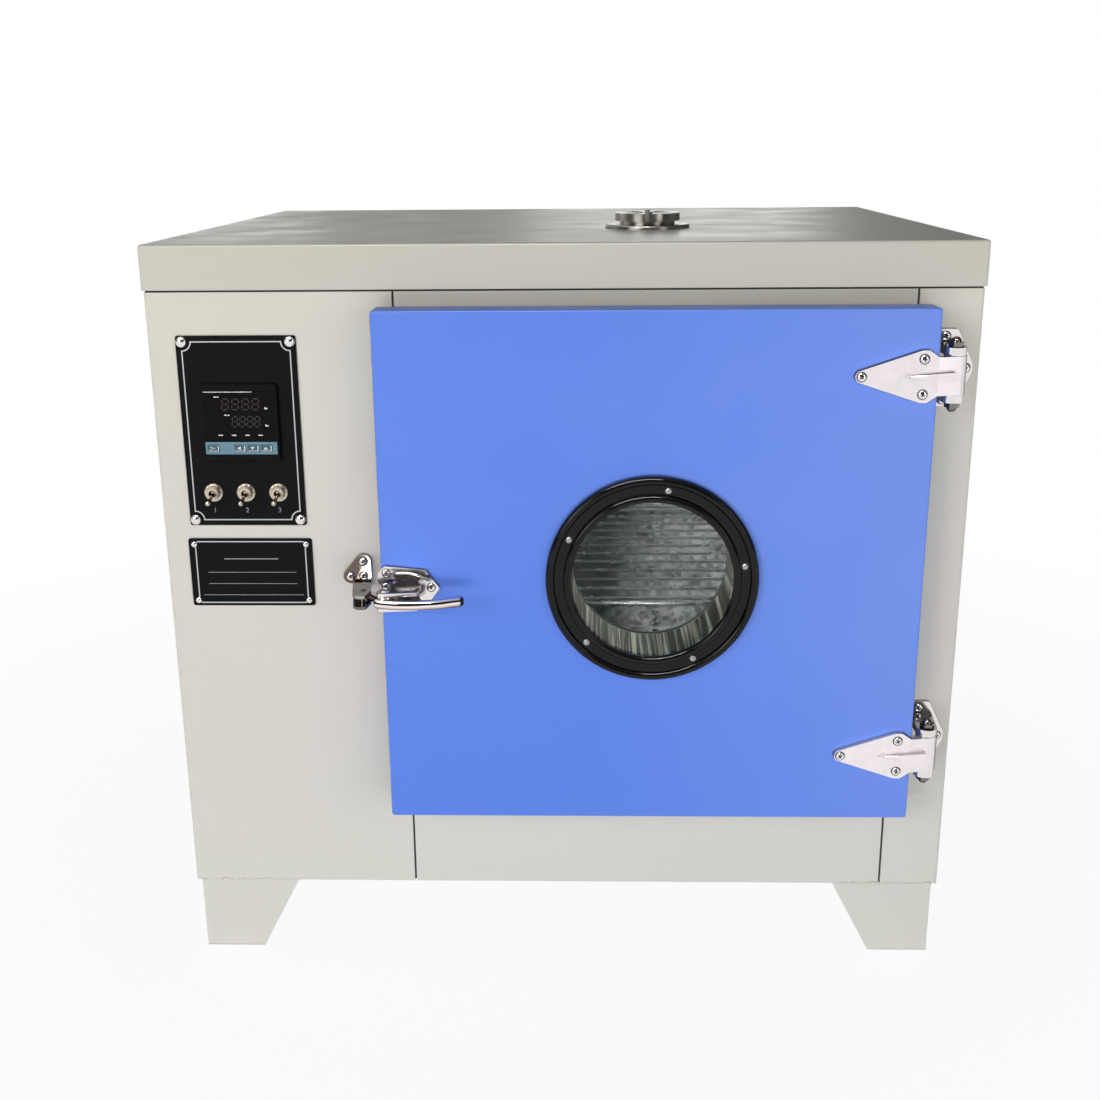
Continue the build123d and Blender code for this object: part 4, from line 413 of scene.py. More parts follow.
def wool():
    """Matted mineral wool."""
    look = Look("wool", srgb(196, 186, 150), 0.95)
    strands = look.noise(90.0, 6.0, (1.0, 1.0, 3.0), 0.75)
    look.coloured(look.mix(look.span(strands, 0.0, 1.0, 0.3, 0.7), srgb(206, 198, 164), srgb(150, 138, 104)))
    look.bumped(strands, WOOL_PILE, 0.8)
    return look.material


def window_glass():
    """Clear pane that lets the lamps through, with a faint film of smears."""
    look = Look("glass", (0.95, 0.97, 0.96), 0.02, IOR=1.16, Transmission_Weight=1.0)
    look.rough(look.noise(22.0, 5.0), 0.0, 0.05, 0.45, 0.8)
    clear = look.add("ShaderNodeBsdfTransparent")
    clear.inputs["Color"].default_value = (0.90, 0.93, 0.92, 1)
    passed = look.seen_by("Is Shadow Ray", "Is Diffuse Ray")
    look.surfaced(look.either(passed, look.shader.outputs["BSDF"], clear.outputs["BSDF"]))
    return look.material


CHROME = srgb(232, 228, 226)
NICKEL = srgb(204, 192, 174)
STEEL = srgb(178, 178, 176)

looks = {
    "cabinet_paint": cabinet_paint("cabinet_paint", 1.0),
    # the cap's paint is the cabinet's darkened to 0.88: a painted shade
    "cap_paint_shaded": cabinet_paint("cap_paint_shaded", 0.88),
    "door_paint": door_paint(),
    "chrome": plated("chrome", CHROME, 0.07, 0.18),
    "cast_metal": cast_metal(),
    "dull_chrome": plated("dull_chrome", srgb(150, 147, 140), 0.16, 0.30, rim_shade=(0.35, 0.95)),
    # a darker copy of the chrome: painted dark reflections on the hinge pins, their nuts and the roller
    "nut_chrome": plated("nut_chrome", srgb(132, 126, 120), 0.05, 0.12, rim_shade=(0.18, 0.60)),
    "lever_chrome": painted_reflection_chrome("lever_chrome", LEVER_HEIGHT, LEVER_HALF),
    "strike_chrome": chrome_with_painted_patches("strike_chrome", srgb(176, 172, 168), srgb(112, 98, 90)),
    "nickel": plated("nickel", NICKEL, 0.16, 0.30, rim_shade=(0.25, 0.80)),
    "galvanised": galvanised(),
    "liner_zinc": liner_zinc(),
    "barrel_zinc": barrel_zinc(),
    "dark_ring": plain("dark_ring", srgb(74, 74, 72), 0.5, 0.7),
    # flat dark look for the painted shade rings round screw heads and the floors of their recesses
    "recess": plain("recess", srgb(26, 26, 28), 0.6, 0.7),
    "wire": plated("wire", srgb(214, 216, 216), 0.18, 0.32),
    "steel": brushed("steel", STEEL),
    "aluminium": brushed("aluminium", srgb(205, 207, 208)),
    "wool": wool(),
    "silicone": plain("silicone", srgb(206, 202, 196), 0.55, 0.86, 60.0),
    "seal": plain("seal", srgb(70, 68, 62), 0.8, 0.7),
    "bezel_black": black_gloss("bezel_black", srgb(7, 7, 9), 0.07, 0.13, specular=0.24),
    "case_black": black_gloss("case_black", srgb(11, 11, 13), 0.22, 0.34),
    "panel_black": black_gloss("panel_black", srgb(10, 11, 14), 0.24, 0.36, 500.0),
    "motor_paint": plain("motor_paint", srgb(58, 62, 66), 0.45),
    "terminal_plastic": plain("terminal_plastic", srgb(40, 40, 40), 0.6),
    "key_plastic": plain("key_plastic", srgb(58, 94, 110), 0.42, 0.85),
    "display": black_gloss("display", srgb(6, 6, 8), 0.08, 0.16),
    "glass": window_glass(),
    "strip": plain("strip", srgb(100, 140, 158), 0.40, 0.90),
    "silver_print": plated("silver_print", srgb(205, 205, 208), 0.25, 0.38),
    "white_print": plain("white_print", srgb(226, 228, 230), 0.55, 0.88),
    "grey_print": plain("grey_print", srgb(150, 152, 156), 0.5, 0.85),
    "red_segment": plain("red_segment", srgb(50, 20, 22), 0.30, 0.75),
    "green_segment": plain("green_segment", srgb(32, 44, 40), 0.30, 0.75),
}

NODE_LOOKS = {
    "top_cover": "cap_paint_shaded", "hinge_leaves": "cast_metal", "hinge_pins": "nut_chrome",
    "strike_roller": "nut_chrome", "latch_lever": "lever_chrome", "latch_strike": "strike_chrome",
    "vent_base": "dull_chrome", "vent_rotor": "dull_chrome", "chamber_liner": "liner_zinc",
    "chamber_floor": "liner_zinc", "window_barrel": "barrel_zinc", "window_inner_ring": "dark_ring",
}


def dress_nodes():
    """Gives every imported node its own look, or else the look of its material slot."""
    for row in frame["record"]["subparts"]:
        piece = nodes[row["node"]]
        piece.data.materials.clear()
        piece.data.materials.append(looks[NODE_LOOKS.get(row["node"], row["material_slot"])])


# ------------------------------------------------------------------ mesh helpers
SAME_POINT = 1e-7          # corners closer than this are one, and ten times as far in a CAD node


def mesh_data(mesh, name):
    bmesh.ops.recalc_face_normals(mesh, faces=mesh.faces)
    data = bpy.data.meshes.new(name)
    mesh.to_mesh(data)
    mesh.free()
    return data


def finish_piece(name, mesh, look, body, smooth=None):
    """Makes an object of a bmesh, gives it its look and slot and lets it ride on its body; edges up to
    smooth degrees are shaded smooth."""
    data = mesh_data(mesh, name)
    data.materials.append(looks[look])
    piece = bpy.data.objects.new(name, data)
    bpy.context.scene.collection.objects.link(piece)
    if smooth is not None:
        data.shade_smooth()
        data.set_sharp_from_angle(angle=math.radians(smooth))
    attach(piece, body)
    return piece


def closed(mesh, near, far):
    """Faces on two loops of corners and all round between them."""
    mesh.faces.new(near)
    mesh.faces.new(far[::-1])
    for index in range(len(near)):
        following = (index + 1) % len(near)
        mesh.faces.new((near[index], far[index], far[following], near[following]))


def prism(mesh, outline, front, back):
    """Closed plate over an (x, z) outline, from y = front to y = back."""
    closed(mesh, [mesh.verts.new((x, front, z)) for x, z in outline],
           [mesh.verts.new((x, back, z)) for x, z in outline])


def upright(mesh, outline, bottom, top, spread=1.0):
    """Closed (x, y) outline between two heights, its top spread times as large."""
    closed(mesh, [mesh.verts.new((x * spread, y * spread, top)) for x, y in outline],
           [mesh.verts.new((x, y, bottom)) for x, y in outline])


def band(mesh, inner, outer, front, back):
    """Closed strip between two (x, z) loops with the same number of points."""
    loops = [[mesh.verts.new((x, y, z)) for x, z in loop] for loop, y in
             ((inner, front), (outer, front), (outer, back), (inner, back))]
    for side in range(4):
        first, second = loops[side], loops[(side + 1) % 4]
        for index in range(len(inner)):
            following = (index + 1) % len(inner)
            mesh.faces.new((first[index], first[following], second[following], second[index]))


def rectangle(x_low, x_high, z_low, z_high):
    return [(x_low, z_low), (x_high, z_low), (x_high, z_high), (x_low, z_high)]


def patch(mesh, x, z, half_x, half_z, front, back):
    """Plate about the middle (x, z)."""
    prism(mesh, rectangle(x - half_x, x + half_x, z - half_z, z + half_z), front, back)


def arc_points(x, z, radius, start, end, count):
    """count + 1 points on an arc about (x, z); angles in degrees."""
    steps = [math.radians(start + (end - start) * index / count) for index in range(count + 1)]
    return [(x + radius * math.cos(angle), z + radius * math.sin(angle)) for angle in steps]


def turned(mesh, profile, origin, axis, segments):
    """Revolves (radius, height) points about an axis through origin; ends are closed if they touch it."""
    place = Matrix.Translation(origin) @ UP.rotation_difference(axis).to_matrix().to_4x4()
    angles = [2 * math.pi * index / segments for index in range(segments)]
    rings = []
    for radius, height in profile:
        points = [Vector((radius * math.cos(angle), radius * math.sin(angle), height)) for angle in angles]
        if radius < SAME_POINT:
            points = [Vector((0, 0, height))]
        rings.append([mesh.verts.new(place @ point) for point in points])
    for first, second in zip(rings, rings[1:]):
        for index in range(segments):
            corners = [first[index % len(first)], first[(index + 1) % len(first)],
                       second[(index + 1) % len(second)], second[index % len(second)]]
            unique = list(dict.fromkeys(corners))
            if len(unique) > 2:
                mesh.faces.new(unique)


def islands(node):
    """Lowest and highest corner of each separate solid of a CAD node."""
    mesh = bmesh.new()
    mesh.from_mesh(nodes[node].data)
    bmesh.ops.remove_doubles(mesh, verts=mesh.verts, dist=SAME_POINT * 10)
    left = set(mesh.verts)
    found = []
    while left:
        stack = [left.pop()]
        group = []
        while stack:
            vert = stack.pop()
            group.append(vert.co.copy())
            for edge in vert.link_edges:
                other = edge.other_vert(vert)
                if other in left:
                    left.discard(other)
                    stack.append(other)
        low = Vector(min(co[axis] for co in group) for axis in range(3))
        high = Vector(max(co[axis] for co in group) for axis in range(3))
        found.append((low, high))
    mesh.free()
    return sorted(found, key=lambda pair: tuple(round(value, 5) for value in pair[0]))


# ------------------------------------------------------------------ screws
HEAD_SIDES = 28
DOME_STEPS = 7
SEAT_SHARE = 0.28         # height of a head's straight side, as a share of its height
RECESS_ARM = 0.62         # half length of the cross recess, as a share of the head's radius
RECESS_HALF = 0.16
RECESS_DEPTH = 0.55       # share of the head's height
RECESS_TAPER = 0.55       # size of the recess at its bottom, as a share of that above the head
CUT_ABOVE = 1.1           # top of the cutter, as a share of the head's height
FLOOR_SHARE = 0.35        # painted shade at the floor of the recess, as a share of its depth
FLOOR_UNDER = 0.05
FLOOR_ARM = 0.75          # size of the floor, as a share of the recess
FLOOR_HALF = 0.85
RIM_INSIDE = 0.96         # inner radius of the painted shade ring round a head, as a share of the head's
RIM_REACH = 0.7 * MM
RIM_RISE = 0.1 * MM
REAR_SIDE = 0.2           # heads beyond this y look to the rear
HEAD_SMOOTH = 35          # degrees


def cross_outline(arm, half):
    return [(arm, -half), (arm, half), (half, half), (half, arm), (-half, arm), (-half, half),
            (-arm, half), (-arm, -half), (-half, -half), (-half, -arm), (half, -arm), (half, -half)]


def rim_shade_mesh(radius, height, crossed):
    """Painted shade: a dark ring round a head and, in a crossed head, a dark floor in its recess."""
    mesh = bmesh.new()
    inner, outer = radius * RIM_INSIDE, radius + RIM_REACH
    profile = [(inner, 0), (outer, 0), (outer, RIM_RISE), (inner, RIM_RISE), (inner, 0)]
    turned(mesh, profile, Vector((0, 0, 0)), UP, HEAD_SIDES)
    bmesh.ops.remove_doubles(mesh, verts=mesh.verts, dist=SAME_POINT)
    if crossed:
        depth = height * RECESS_DEPTH
        outline = cross_outline(radius * RECESS_ARM * FLOOR_ARM, radius * RECESS_HALF * FLOOR_HALF)
        upright(mesh, outline, height - depth * (1 + FLOOR_UNDER), height - depth * (1 - FLOOR_SHARE))
    return mesh_data(mesh, "rim_shade")


def difference(solid, tool):
    """solid less tool, as a new mesh."""
    objects = [bpy.data.objects.new(name, data) for name, data in (("cut_solid", solid), ("cut_tool", tool))]
    for item in objects:
        bpy.context.scene.collection.objects.link(item)
    cut = objects[0].modifiers.new("cut", "BOOLEAN")
    cut.object = objects[1]
    cut.operation = "DIFFERENCE"
    cut.solver = "EXACT"
    bpy.context.view_layer.update()
    done = bpy.data.meshes.new_from_object(objects[0].evaluated_get(bpy.context.evaluated_depsgraph_get()))
    for item in objects:
        bpy.data.objects.remove(item)
    return done


def head_mesh(radius, height, crossed):
    """Domed head on its seat, drawn along +Z; crossed heads have a Phillips recess."""
    mesh = bmesh.new()
    side = height * SEAT_SHARE
    profile = [(0, 0), (radius, 0), (radius, side)]
    for index in range(1, DOME_STEPS):
        angle = math.radians(90 * index / DOME_STEPS)
        profile.append((radius * math.cos(angle), side + (height - side) * math.sin(angle)))
    turned(mesh, profile + [(0, height)], Vector((0, 0, 0)), UP, HEAD_SIDES)
    head = mesh_data(mesh, "head")
    if not crossed:
        return head
    cutter = bmesh.new()
    outline = cross_outline(radius * RECESS_ARM * RECESS_TAPER, radius * RECESS_HALF * RECESS_TAPER)
    upright(cutter, outline, height - height * RECESS_DEPTH, height * CUT_ABOVE, 1 / RECESS_TAPER)
    return difference(head, mesh_data(cutter, "recess"))


def screw_heads(node, look, body, crossed, painted_rim_shade=True):
    """Turned heads in place of a CAD node's plain ones: each on its own seat, facing the same way."""
    name = node[:-1] + "_heads"
    mesh = bmesh.new()
    rim_shades = bmesh.new()
    made = {}
    shuffle = random.Random(len(name))
    for low, high in islands(node):
        size = high - low
        radius, height = max(size.x, size.z) / 2, size.y
        key = (round(radius, 5), round(height, 5))
        if key not in made:
            made[key] = (head_mesh(radius, height, crossed), rim_shade_mesh(radius, height, crossed))
        front = low.y < REAR_SIDE
        seat = Vector(((low.x + high.x) / 2, high.y if front else low.y, (low.z + high.z) / 2))
        turn = UP.rotation_difference(FRONT if front else -FRONT).to_matrix().to_4x4()
        twist = Matrix.Rotation(math.radians(shuffle.uniform(0, 90)), 4, "Z")
        for target, source in zip((mesh, rim_shades), made[key]):
            copy = source.copy()
            copy.transform(Matrix.Translation(seat) @ turn @ twist)
            target.from_mesh(copy)
            bpy.data.meshes.remove(copy)
    piece = finish_piece(name, mesh, look, body, smooth=HEAD_SMOOTH)
    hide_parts(node)
    if painted_rim_shade:
        finish_piece(node[:-1] + "_rim_shades", rim_shades, "recess", body, smooth=HEAD_SMOOTH)
    else:
        rim_shades.free()


# ------------------------------------------------------------------ control panel
LINE_HALF = 0.55 * MM
LINE_RAISE = 0.12 * MM
PANEL_LINE_IN = 5.4 * MM
SCALLOP = 8.2 * MM         # radius of the hollow curve round a corner screw
SCALLOP_STEPS = 10
SCREW_IN = 5.5 * MM
NAME_LINE_X = 6.4 * MM
NAME_LINE_Z = 3.0 * MM
NAME_LINE_ROUND = 3.0 * MM
ROUND_STEPS = 8


def scalloped_loop(low, high, inset, scallop):
    """Rectangle inset from a plate's edges, with a hollow curve round each corner screw."""
    points = []
    lean = math.degrees(math.asin((inset - SCREW_IN) / scallop))
    corners = rectangle(low.x + SCREW_IN, high.x - SCREW_IN, low.z + SCREW_IN, high.z - SCREW_IN)
    for turn, (x, z) in zip((0, 90, 180, 270), corners):
        points += arc_points(x, z, scallop, 90 - lean + turn, lean + turn, SCALLOP_STEPS)
    return points


def rounded_loop(low, high, inset_x, inset_z, radius):
    """Rectangle inset from a plate's edges, with rounded corners."""
    points = []
    corners = rectangle(low.x + inset_x + radius, high.x - inset_x - radius,
                        low.z + inset_z + radius, high.z - inset_z - radius)
    for start, (x, z) in zip((180, 270, 0, 90), corners):
        points += arc_points(x, z, radius, start, start + 90, ROUND_STEPS)
    return points


def panel_lines():
    """Silver border lines printed on the two plates."""
    mesh = bmesh.new()
    steps = (LINE_HALF, -LINE_HALF)
    panel = [scalloped_loop(plate_low, plate_high, PANEL_LINE_IN + step, SCALLOP + step) for step in steps]
    name_plate = [rounded_loop(name_low, name_high, NAME_LINE_X + step, NAME_LINE_Z + step,
                               NAME_LINE_ROUND - step) for step in steps]
    for inner, outer in (panel, name_plate):
        band(mesh, inner, outer, PANEL_FACE - LINE_RAISE, PANEL_FACE)
    finish_piece("panel_border_lines", mesh, "silver_print", "root")


# height and width as shares of the plate, and half thickness
RULE_ROWS = ((0.70, 0.44, 0.50 * MM), (0.50, 0.72, 0.28 * MM), (0.33, 0.72, 0.28 * MM),
             (0.16, 0.82, 0.28 * MM))


def name_plate_rules():
    """Plain raised rules where the plate's wording is left off."""
    mesh = bmesh.new()
    middle = (name_low.x + name_high.x) / 2
    width, height = name_high.x - name_low.x, name_high.z - name_low.z
    for row, share, half in RULE_ROWS:
        patch(mesh, middle, name_low.z + row * height, share * width / 2, half,
              PANEL_FACE - LINE_RAISE, PANEL_FACE)
    finish_piece("name_plate_rules", mesh, "grey_print", "root")


LABEL_DROP = 17.5 * MM     # below the middle of the switch
LABEL_SIZE = 6.5 * MM
LABELS = {"power_toggle": "1", "heating_toggle": "2", "blower_toggle": "3"}


def toggle_numbers():
    """Plain numbers under the three switches."""
    for joint, text in LABELS.items():
        curve = bpy.data.curves.new("toggle_number_" + text, "FONT")
        curve.body = text
        curve.size = LABEL_SIZE
        curve.align_x = "CENTER"
        curve.align_y = "CENTER"
        curve.extrude = LINE_RAISE / 2
        curve.materials.append(looks["grey_print"])
        piece = bpy.data.objects.new("toggle_number_" + text, curve)
        bpy.context.scene.collection.objects.link(piece)
        place = joint_places[joint]
        piece.rotation_euler = (math.radians(90), 0, 0)
        piece.location = (place.x, PANEL_FACE - LINE_RAISE / 2, place.z - LABEL_DROP)
        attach(piece, "root")


THREAD_RADIUS = 6.0 * MM
THREAD_HEIGHT = 0.3 * MM
THREAD_PITCH = 0.8 * MM
THREAD_START = 3.6 * MM    # in front of the plate, clear of washer and nut
THREAD_END = 6.8 * MM
THREAD_FLANKS = ((0.1, 0.0), (0.5, 1.0), (0.9, 0.0))   # shares of the pitch and of the height
COLLAR_INSIDE = THREAD_RADIUS + 0.5 * MM
COLLAR_RADIUS = 8.2 * MM
COLLAR_BACK = 0.9 * MM     # in front of the plate
COLLAR_EDGE = 1.3 * MM
COLLAR_FRONT = 1.7 * MM
COLLAR_BEVEL = 0.7 * MM
THREAD_SIDES = 36


def toggle_threads():
    """Thread crests on the three bushes, and a bevelled ring washer behind each nut."""
    mesh = bmesh.new()
    root = THREAD_RADIUS - THREAD_HEIGHT
    turns = int((THREAD_END - THREAD_START) / THREAD_PITCH)
    thread = [(root, THREAD_START)]
    for index in range(turns):
        thread += [(THREAD_RADIUS + crest * THREAD_HEIGHT, THREAD_START + (index + share) * THREAD_PITCH)
                   for share, crest in THREAD_FLANKS]
    thread += [(root, THREAD_START + turns * THREAD_PITCH), thread[0]]
    collar = [(COLLAR_INSIDE, COLLAR_BACK), (COLLAR_RADIUS, COLLAR_BACK), (COLLAR_RADIUS, COLLAR_EDGE),
              (COLLAR_RADIUS - COLLAR_BEVEL, COLLAR_FRONT), (COLLAR_INSIDE, COLLAR_FRONT),
              (COLLAR_INSIDE, COLLAR_BACK)]
    for joint in LABELS:
        origin = Vector((joint_places[joint].x, PANEL_FACE, joint_places[joint].z))
        turned(mesh, thread, origin, FRONT, THREAD_SIDES)
        turned(mesh, collar, origin, FRONT, THREAD_SIDES)
    bmesh.ops.remove_doubles(mesh, verts=mesh.verts, dist=SAME_POINT)
    finish_piece("toggle_bush_threads", mesh, "nickel", "root", smooth=30)


# ------------------------------------------------------------------ controller face
DIGIT_SLANT = 0.10
SEGMENTS = (((0, 1), (1, 1)), ((0, 0.5), (1, 0.5)), ((0, 0), (1, 0)),
            ((0, 0.5), (0, 1)), ((1, 0.5), (1, 1)), ((0, 0), (0, 0.5)), ((1, 0), (1, 0.5)))
SEGMENT_GAP = 0.62         # shares of the stroke
SEGMENT_TIP = 0.45
PRINT_FRONT = lens_low.y - 0.06 * MM
PRINT_BACK = lens_low.y


def digit(mesh, x, z, width, height, stroke):
    """All seven segments of one figure, its lower left corner at (x, z)."""
    for (x1, z1), (x2, z2) in SEGMENTS:
        a = Vector((x1 * width, z1 * height))
        b = Vector((x2 * width, z2 * height))
        run = (b - a).normalized()
        side = Vector((-run.y, run.x)) * stroke / 2
        tip = run * stroke * SEGMENT_TIP
        a += run * stroke * SEGMENT_GAP
        b -= run * stroke * SEGMENT_GAP
        outline = [a, a + tip + side, b - tip + side, b, b - tip - side, a + tip - side]
        placed = [(x + p.x + p.y * DIGIT_SLANT, z + p.y) for p in outline]
        prism(mesh, placed, PRINT_FRONT, PRINT_BACK)


# name, look, x and z from the middle of the face, width, height, pitch and stroke, in mm
DIGIT_ROWS = (("upper_digits", "red_segment", -16.0, 12.8, 6.0, 10.0, 9.4, 1.15),
              ("lower_digits", "green_segment", -7.4, -3.2, 4.8, 9.6, 7.0, 0.95))


def controller_digits():
    """Two rows of four unlit figures behind the dark window."""
    for name, look, x, z, width, height, pitch, stroke in DIGIT_ROWS:
        mesh = bmesh.new()
        for index in range(4):
            digit(mesh, CASE_CENTRE.x + (x + index * pitch) * MM, CASE_CENTRE.z + z * MM,
                  width * MM, height * MM, stroke * MM)
        finish_piece(name, mesh, look, "root")


# middle and half size in x and z from the middle of the face, in mm; the last is the thin line
FACE_MARKS = ((-21.2, 24.6, 1.5, 0.5), (-19.0, 24.6, 1.2, 0.5), (-12.6, 7.6, 1.5, 0.5),
              (-10.4, 7.6, 1.2, 0.5), (24.4, 14.2, 0.6, 0.9), (25.9, 13.8, 0.9, 0.6),
              (24.2, -2.0, 0.6, 0.9), (25.7, -2.4, 0.9, 0.6), (-18.5, -11.2, 2.1, 0.5),
              (-6.1, -11.2, 2.1, 0.5), (6.4, -11.2, 2.1, 0.5), (18.5, -11.2, 2.1, 0.5),
              (-9.5, 29.2, 22.5, 0.35))


def controller_marks():
    """Thin white line and the small plain lamp marks on the controller face."""
    mesh = bmesh.new()
    for x, z, half_x, half_z in FACE_MARKS:
        patch(mesh, CASE_CENTRE.x + x * MM, CASE_CENTRE.z + z * MM, half_x * MM, half_z * MM,
              PRINT_FRONT, PRINT_BACK)
    finish_piece("controller_marks", mesh, "white_print", "root")


STRIP_TOP = -17.6 * MM     # from the middle of the controller's face
STRIP_BOTTOM = -29.2 * MM
STRIP_HALF = 33.4 * MM
STRIP_RAISE = 0.2 * MM
KEY_GAP = 0.25 * MM
KEYS = ("key_set", "key_shift", "key_down", "key_up")


def key_strip():
    """Printed teal strip with an opening round each key."""
    mesh = bmesh.new()
    front, back = CASE_FACE - STRIP_RAISE, CASE_FACE
    boxes = [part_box(name) for name in KEYS]
    key_low = min(low.z for low, high in boxes) - KEY_GAP
    key_high = max(high.z for low, high in boxes) + KEY_GAP
    x_low, x_high = CASE_CENTRE.x - STRIP_HALF, CASE_CENTRE.x + STRIP_HALF
    prism(mesh, rectangle(x_low, x_high, key_high, CASE_CENTRE.z + STRIP_TOP), front, back)
    prism(mesh, rectangle(x_low, x_high, CASE_CENTRE.z + STRIP_BOTTOM, key_low), front, back)
    start = x_low
    for low, high in boxes:
        prism(mesh, rectangle(start, low.x - KEY_GAP, key_low, key_high), front, back)
        start = high.x + KEY_GAP
    prism(mesh, rectangle(start, x_high, key_low, key_high), front, back)
    finish_piece("key_strip", mesh, "strip", "root")


SYMBOL = 1.9 * MM          # half size of the arrow on a key
SYMBOL_LEFT = 0.8 * MM     # from the key's middle
SYMBOL_UP = 0.2 * MM
SYMBOL_RAISE = 0.1 * MM
ARROWS = {"key_shift": [(-1, 0), (0.7, -0.95), (0.7, 0.95)], "key_down": [(0, -0.8), (1, 0.7), (-1, 0.7)],
          "key_up": [(0, 0.8), (-1, -0.7), (1, -0.7)]}
DASHES = ((-1.3 * MM, 0.9 * MM), (-1.3 * MM, -0.9 * MM), (1.2 * MM, 0.0))
DASH_HALF_X = 1.0 * MM
DASH_HALF_Z = 0.3 * MM
EDGE_WIDTH = 0.9 * MM      # light print beside a key's right edge, and above its lower one
EDGE_HEIGHT = 0.54 * MM
EDGE_IN = 0.5 * MM


def key_symbols():
    """A plain arrow, or dashes, on each key, and the light print along its right and lower edge."""
    for name in KEYS:
        low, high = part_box(name)
        x = (low.x + high.x) / 2 - SYMBOL_LEFT
        z = (low.z + high.z) / 2 + SYMBOL_UP
        faces = (low.y - SYMBOL_RAISE, low.y)
        mesh = bmesh.new()
        if name in ARROWS:
            prism(mesh, [(x + dx * SYMBOL, z + dz * SYMBOL) for dx, dz in ARROWS[name]], *faces)
        else:
            for dx, dz in DASHES:
                patch(mesh, x + dx, z + dz, DASH_HALF_X, DASH_HALF_Z, *faces)
        right, bottom = high.x - EDGE_IN, low.z + EDGE_IN
        prism(mesh, rectangle(right - EDGE_WIDTH, right, bottom, high.z - EDGE_IN), *faces)
        prism(mesh, rectangle(low.x + EDGE_IN, right - EDGE_WIDTH, bottom, bottom + EDGE_HEIGHT), *faces)
        finish_piece(name + "_symbol", mesh, "white_print", name)


# ------------------------------------------------------------------ welds
BEAD_SIZE = 1.5 * MM
BEAD_STEP = 3.4 * MM
BEAD_SMALL = (0.35, 0.75)  # shares of the size
BEAD_LARGE = (1.0, 1.5)
BEAD_LARGE_CHANCE = 0.14
BEAD_SHAPE = (1.9, 0.8, 1.0)


def bead(mesh, shuffle, place):
    """One flattened drop of weld, now and then a larger one."""
    size = BEAD_SIZE * shuffle.uniform(*BEAD_SMALL)
    if shuffle.random() < BEAD_LARGE_CHANCE:
        size = BEAD_SIZE * shuffle.uniform(*BEAD_LARGE)
    stretch = Matrix.Diagonal((*[size * share for share in BEAD_SHAPE], 1))
    bmesh.ops.create_icosphere(mesh, subdivisions=2, radius=1.0, matrix=Matrix.Translation(place) @ stretch)


def weld_beads():
    """Painted weld beads along the outer sides of each foot, where it meets the body."""
    shuffle = random.Random(11)
    mesh = bmesh.new()
    joint_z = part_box("feet")[1].z
    for low, high in islands("feet"):
        middle = (low + high) / 2
        corner = Vector((low.x if middle.x < 0 else high.x, low.y if middle.y < 0 else high.y, joint_z))
        for axis in range(2):
            reach = high[axis] - low[axis]
            steps = int(reach / BEAD_STEP)
            for index in range(steps + 1):
                place = corner.copy()
                place[axis] = low[axis] + reach * index / steps
                bead(mesh, shuffle, place)
    finish_piece("weld_beads", mesh, "cabinet_paint", "root", smooth=60)


# ------------------------------------------------------------------ stage, light and camera
FLOOR_SIZE = 30.0
FLOOR_WHITE = (0.93, 1.0)  # share of plain white in the floor that is seen, near the object and far off
FLOOR_FADE = (0.50, 1.5)   # metres from the middle
FLOOR_GREYS = ((0.88, 0.88, 0.88), (0.84, 0.84, 0.835))


def stage_floor():
    """Pale floor that keeps the shadow and meets the white background without an edge."""
    look = Look("floor", FLOOR_GREYS[0], 0.9)
    look.coloured(look.mix(look.span(look.noise(1.2, 2.0), 0.0, 0.3, 0.3, 0.7), *FLOOR_GREYS))
    look.rough(look.noise(40.0, 3.0), 0.82, 0.95)
    length = look.add("ShaderNodeVectorMath", operation="LENGTH")
    look.link(look.place, length.inputs[0])
    white_share = look.span(length.outputs["Value"], *FLOOR_WHITE, *FLOOR_FADE)
    share = look.maths("MULTIPLY", look.seen_by("Is Camera Ray", "Is Transmission Ray", "Is Glossy Ray"),
                       white_share)
    white = look.add("ShaderNodeEmission").outputs["Emission"]
    look.surfaced(look.either(share, look.shader.outputs["BSDF"], white))
    bpy.ops.mesh.primitive_plane_add(size=FLOOR_SIZE, location=(0, 0, cad_low.z))
    floor = bpy.context.object
    floor.name = "stage_floor"
    floor.data.materials.append(look.material)


ROOM_LIGHT = 0.60
# greys from straight down to straight up: what lights matt surfaces, and what gloss and glass see
# behind the object and in front of it
ROOM_STOPS = ((0.00, 0.60), (0.45, 0.85), (0.55, 0.85), (0.68, 0.50), (0.85, 0.20), (1.00, 0.20))
BACK_STOPS = ((0.00, 0.80), (0.50, 0.85), (0.54, 0.45), (0.60, 0.22), (0.80, 0.16), (0.90, 0.40),
              (1.00, 0.60))
FRONT_STOPS = ((0.00, 0.30), (0.44, 0.22), (0.50, 0.10), (0.56, 0.03), (0.66, 0.05), (0.80, 0.40),
               (1.00, 0.80))
FORWARD = (-0.35, 0.25)    # Y of a direction, from the front's greys to the back's
SIDE_REACH = (-0.24, -0.03)    # X of a direction, over which the gloss of the room behind falls off
SIDE_SHADE = (4.5, 0.6)
STREAK_SCALE = (9.0, 9.0, 0.6)
STREAK_STOPS = ((0.0, 0.25), (0.42, 0.45), (0.55, 1.0), (1.0, 1.0))
# the bright opening behind: its left edge, its right edge, its top and how far back it begins
PATCH_LEFT = (-0.07, -0.005)
PATCH_EDGES = (("X", 0.175, 0.145), ("Z", 0.60, 0.52), ("Y", 0.5, 0.6))
PATCH_LIGHT = 1.6


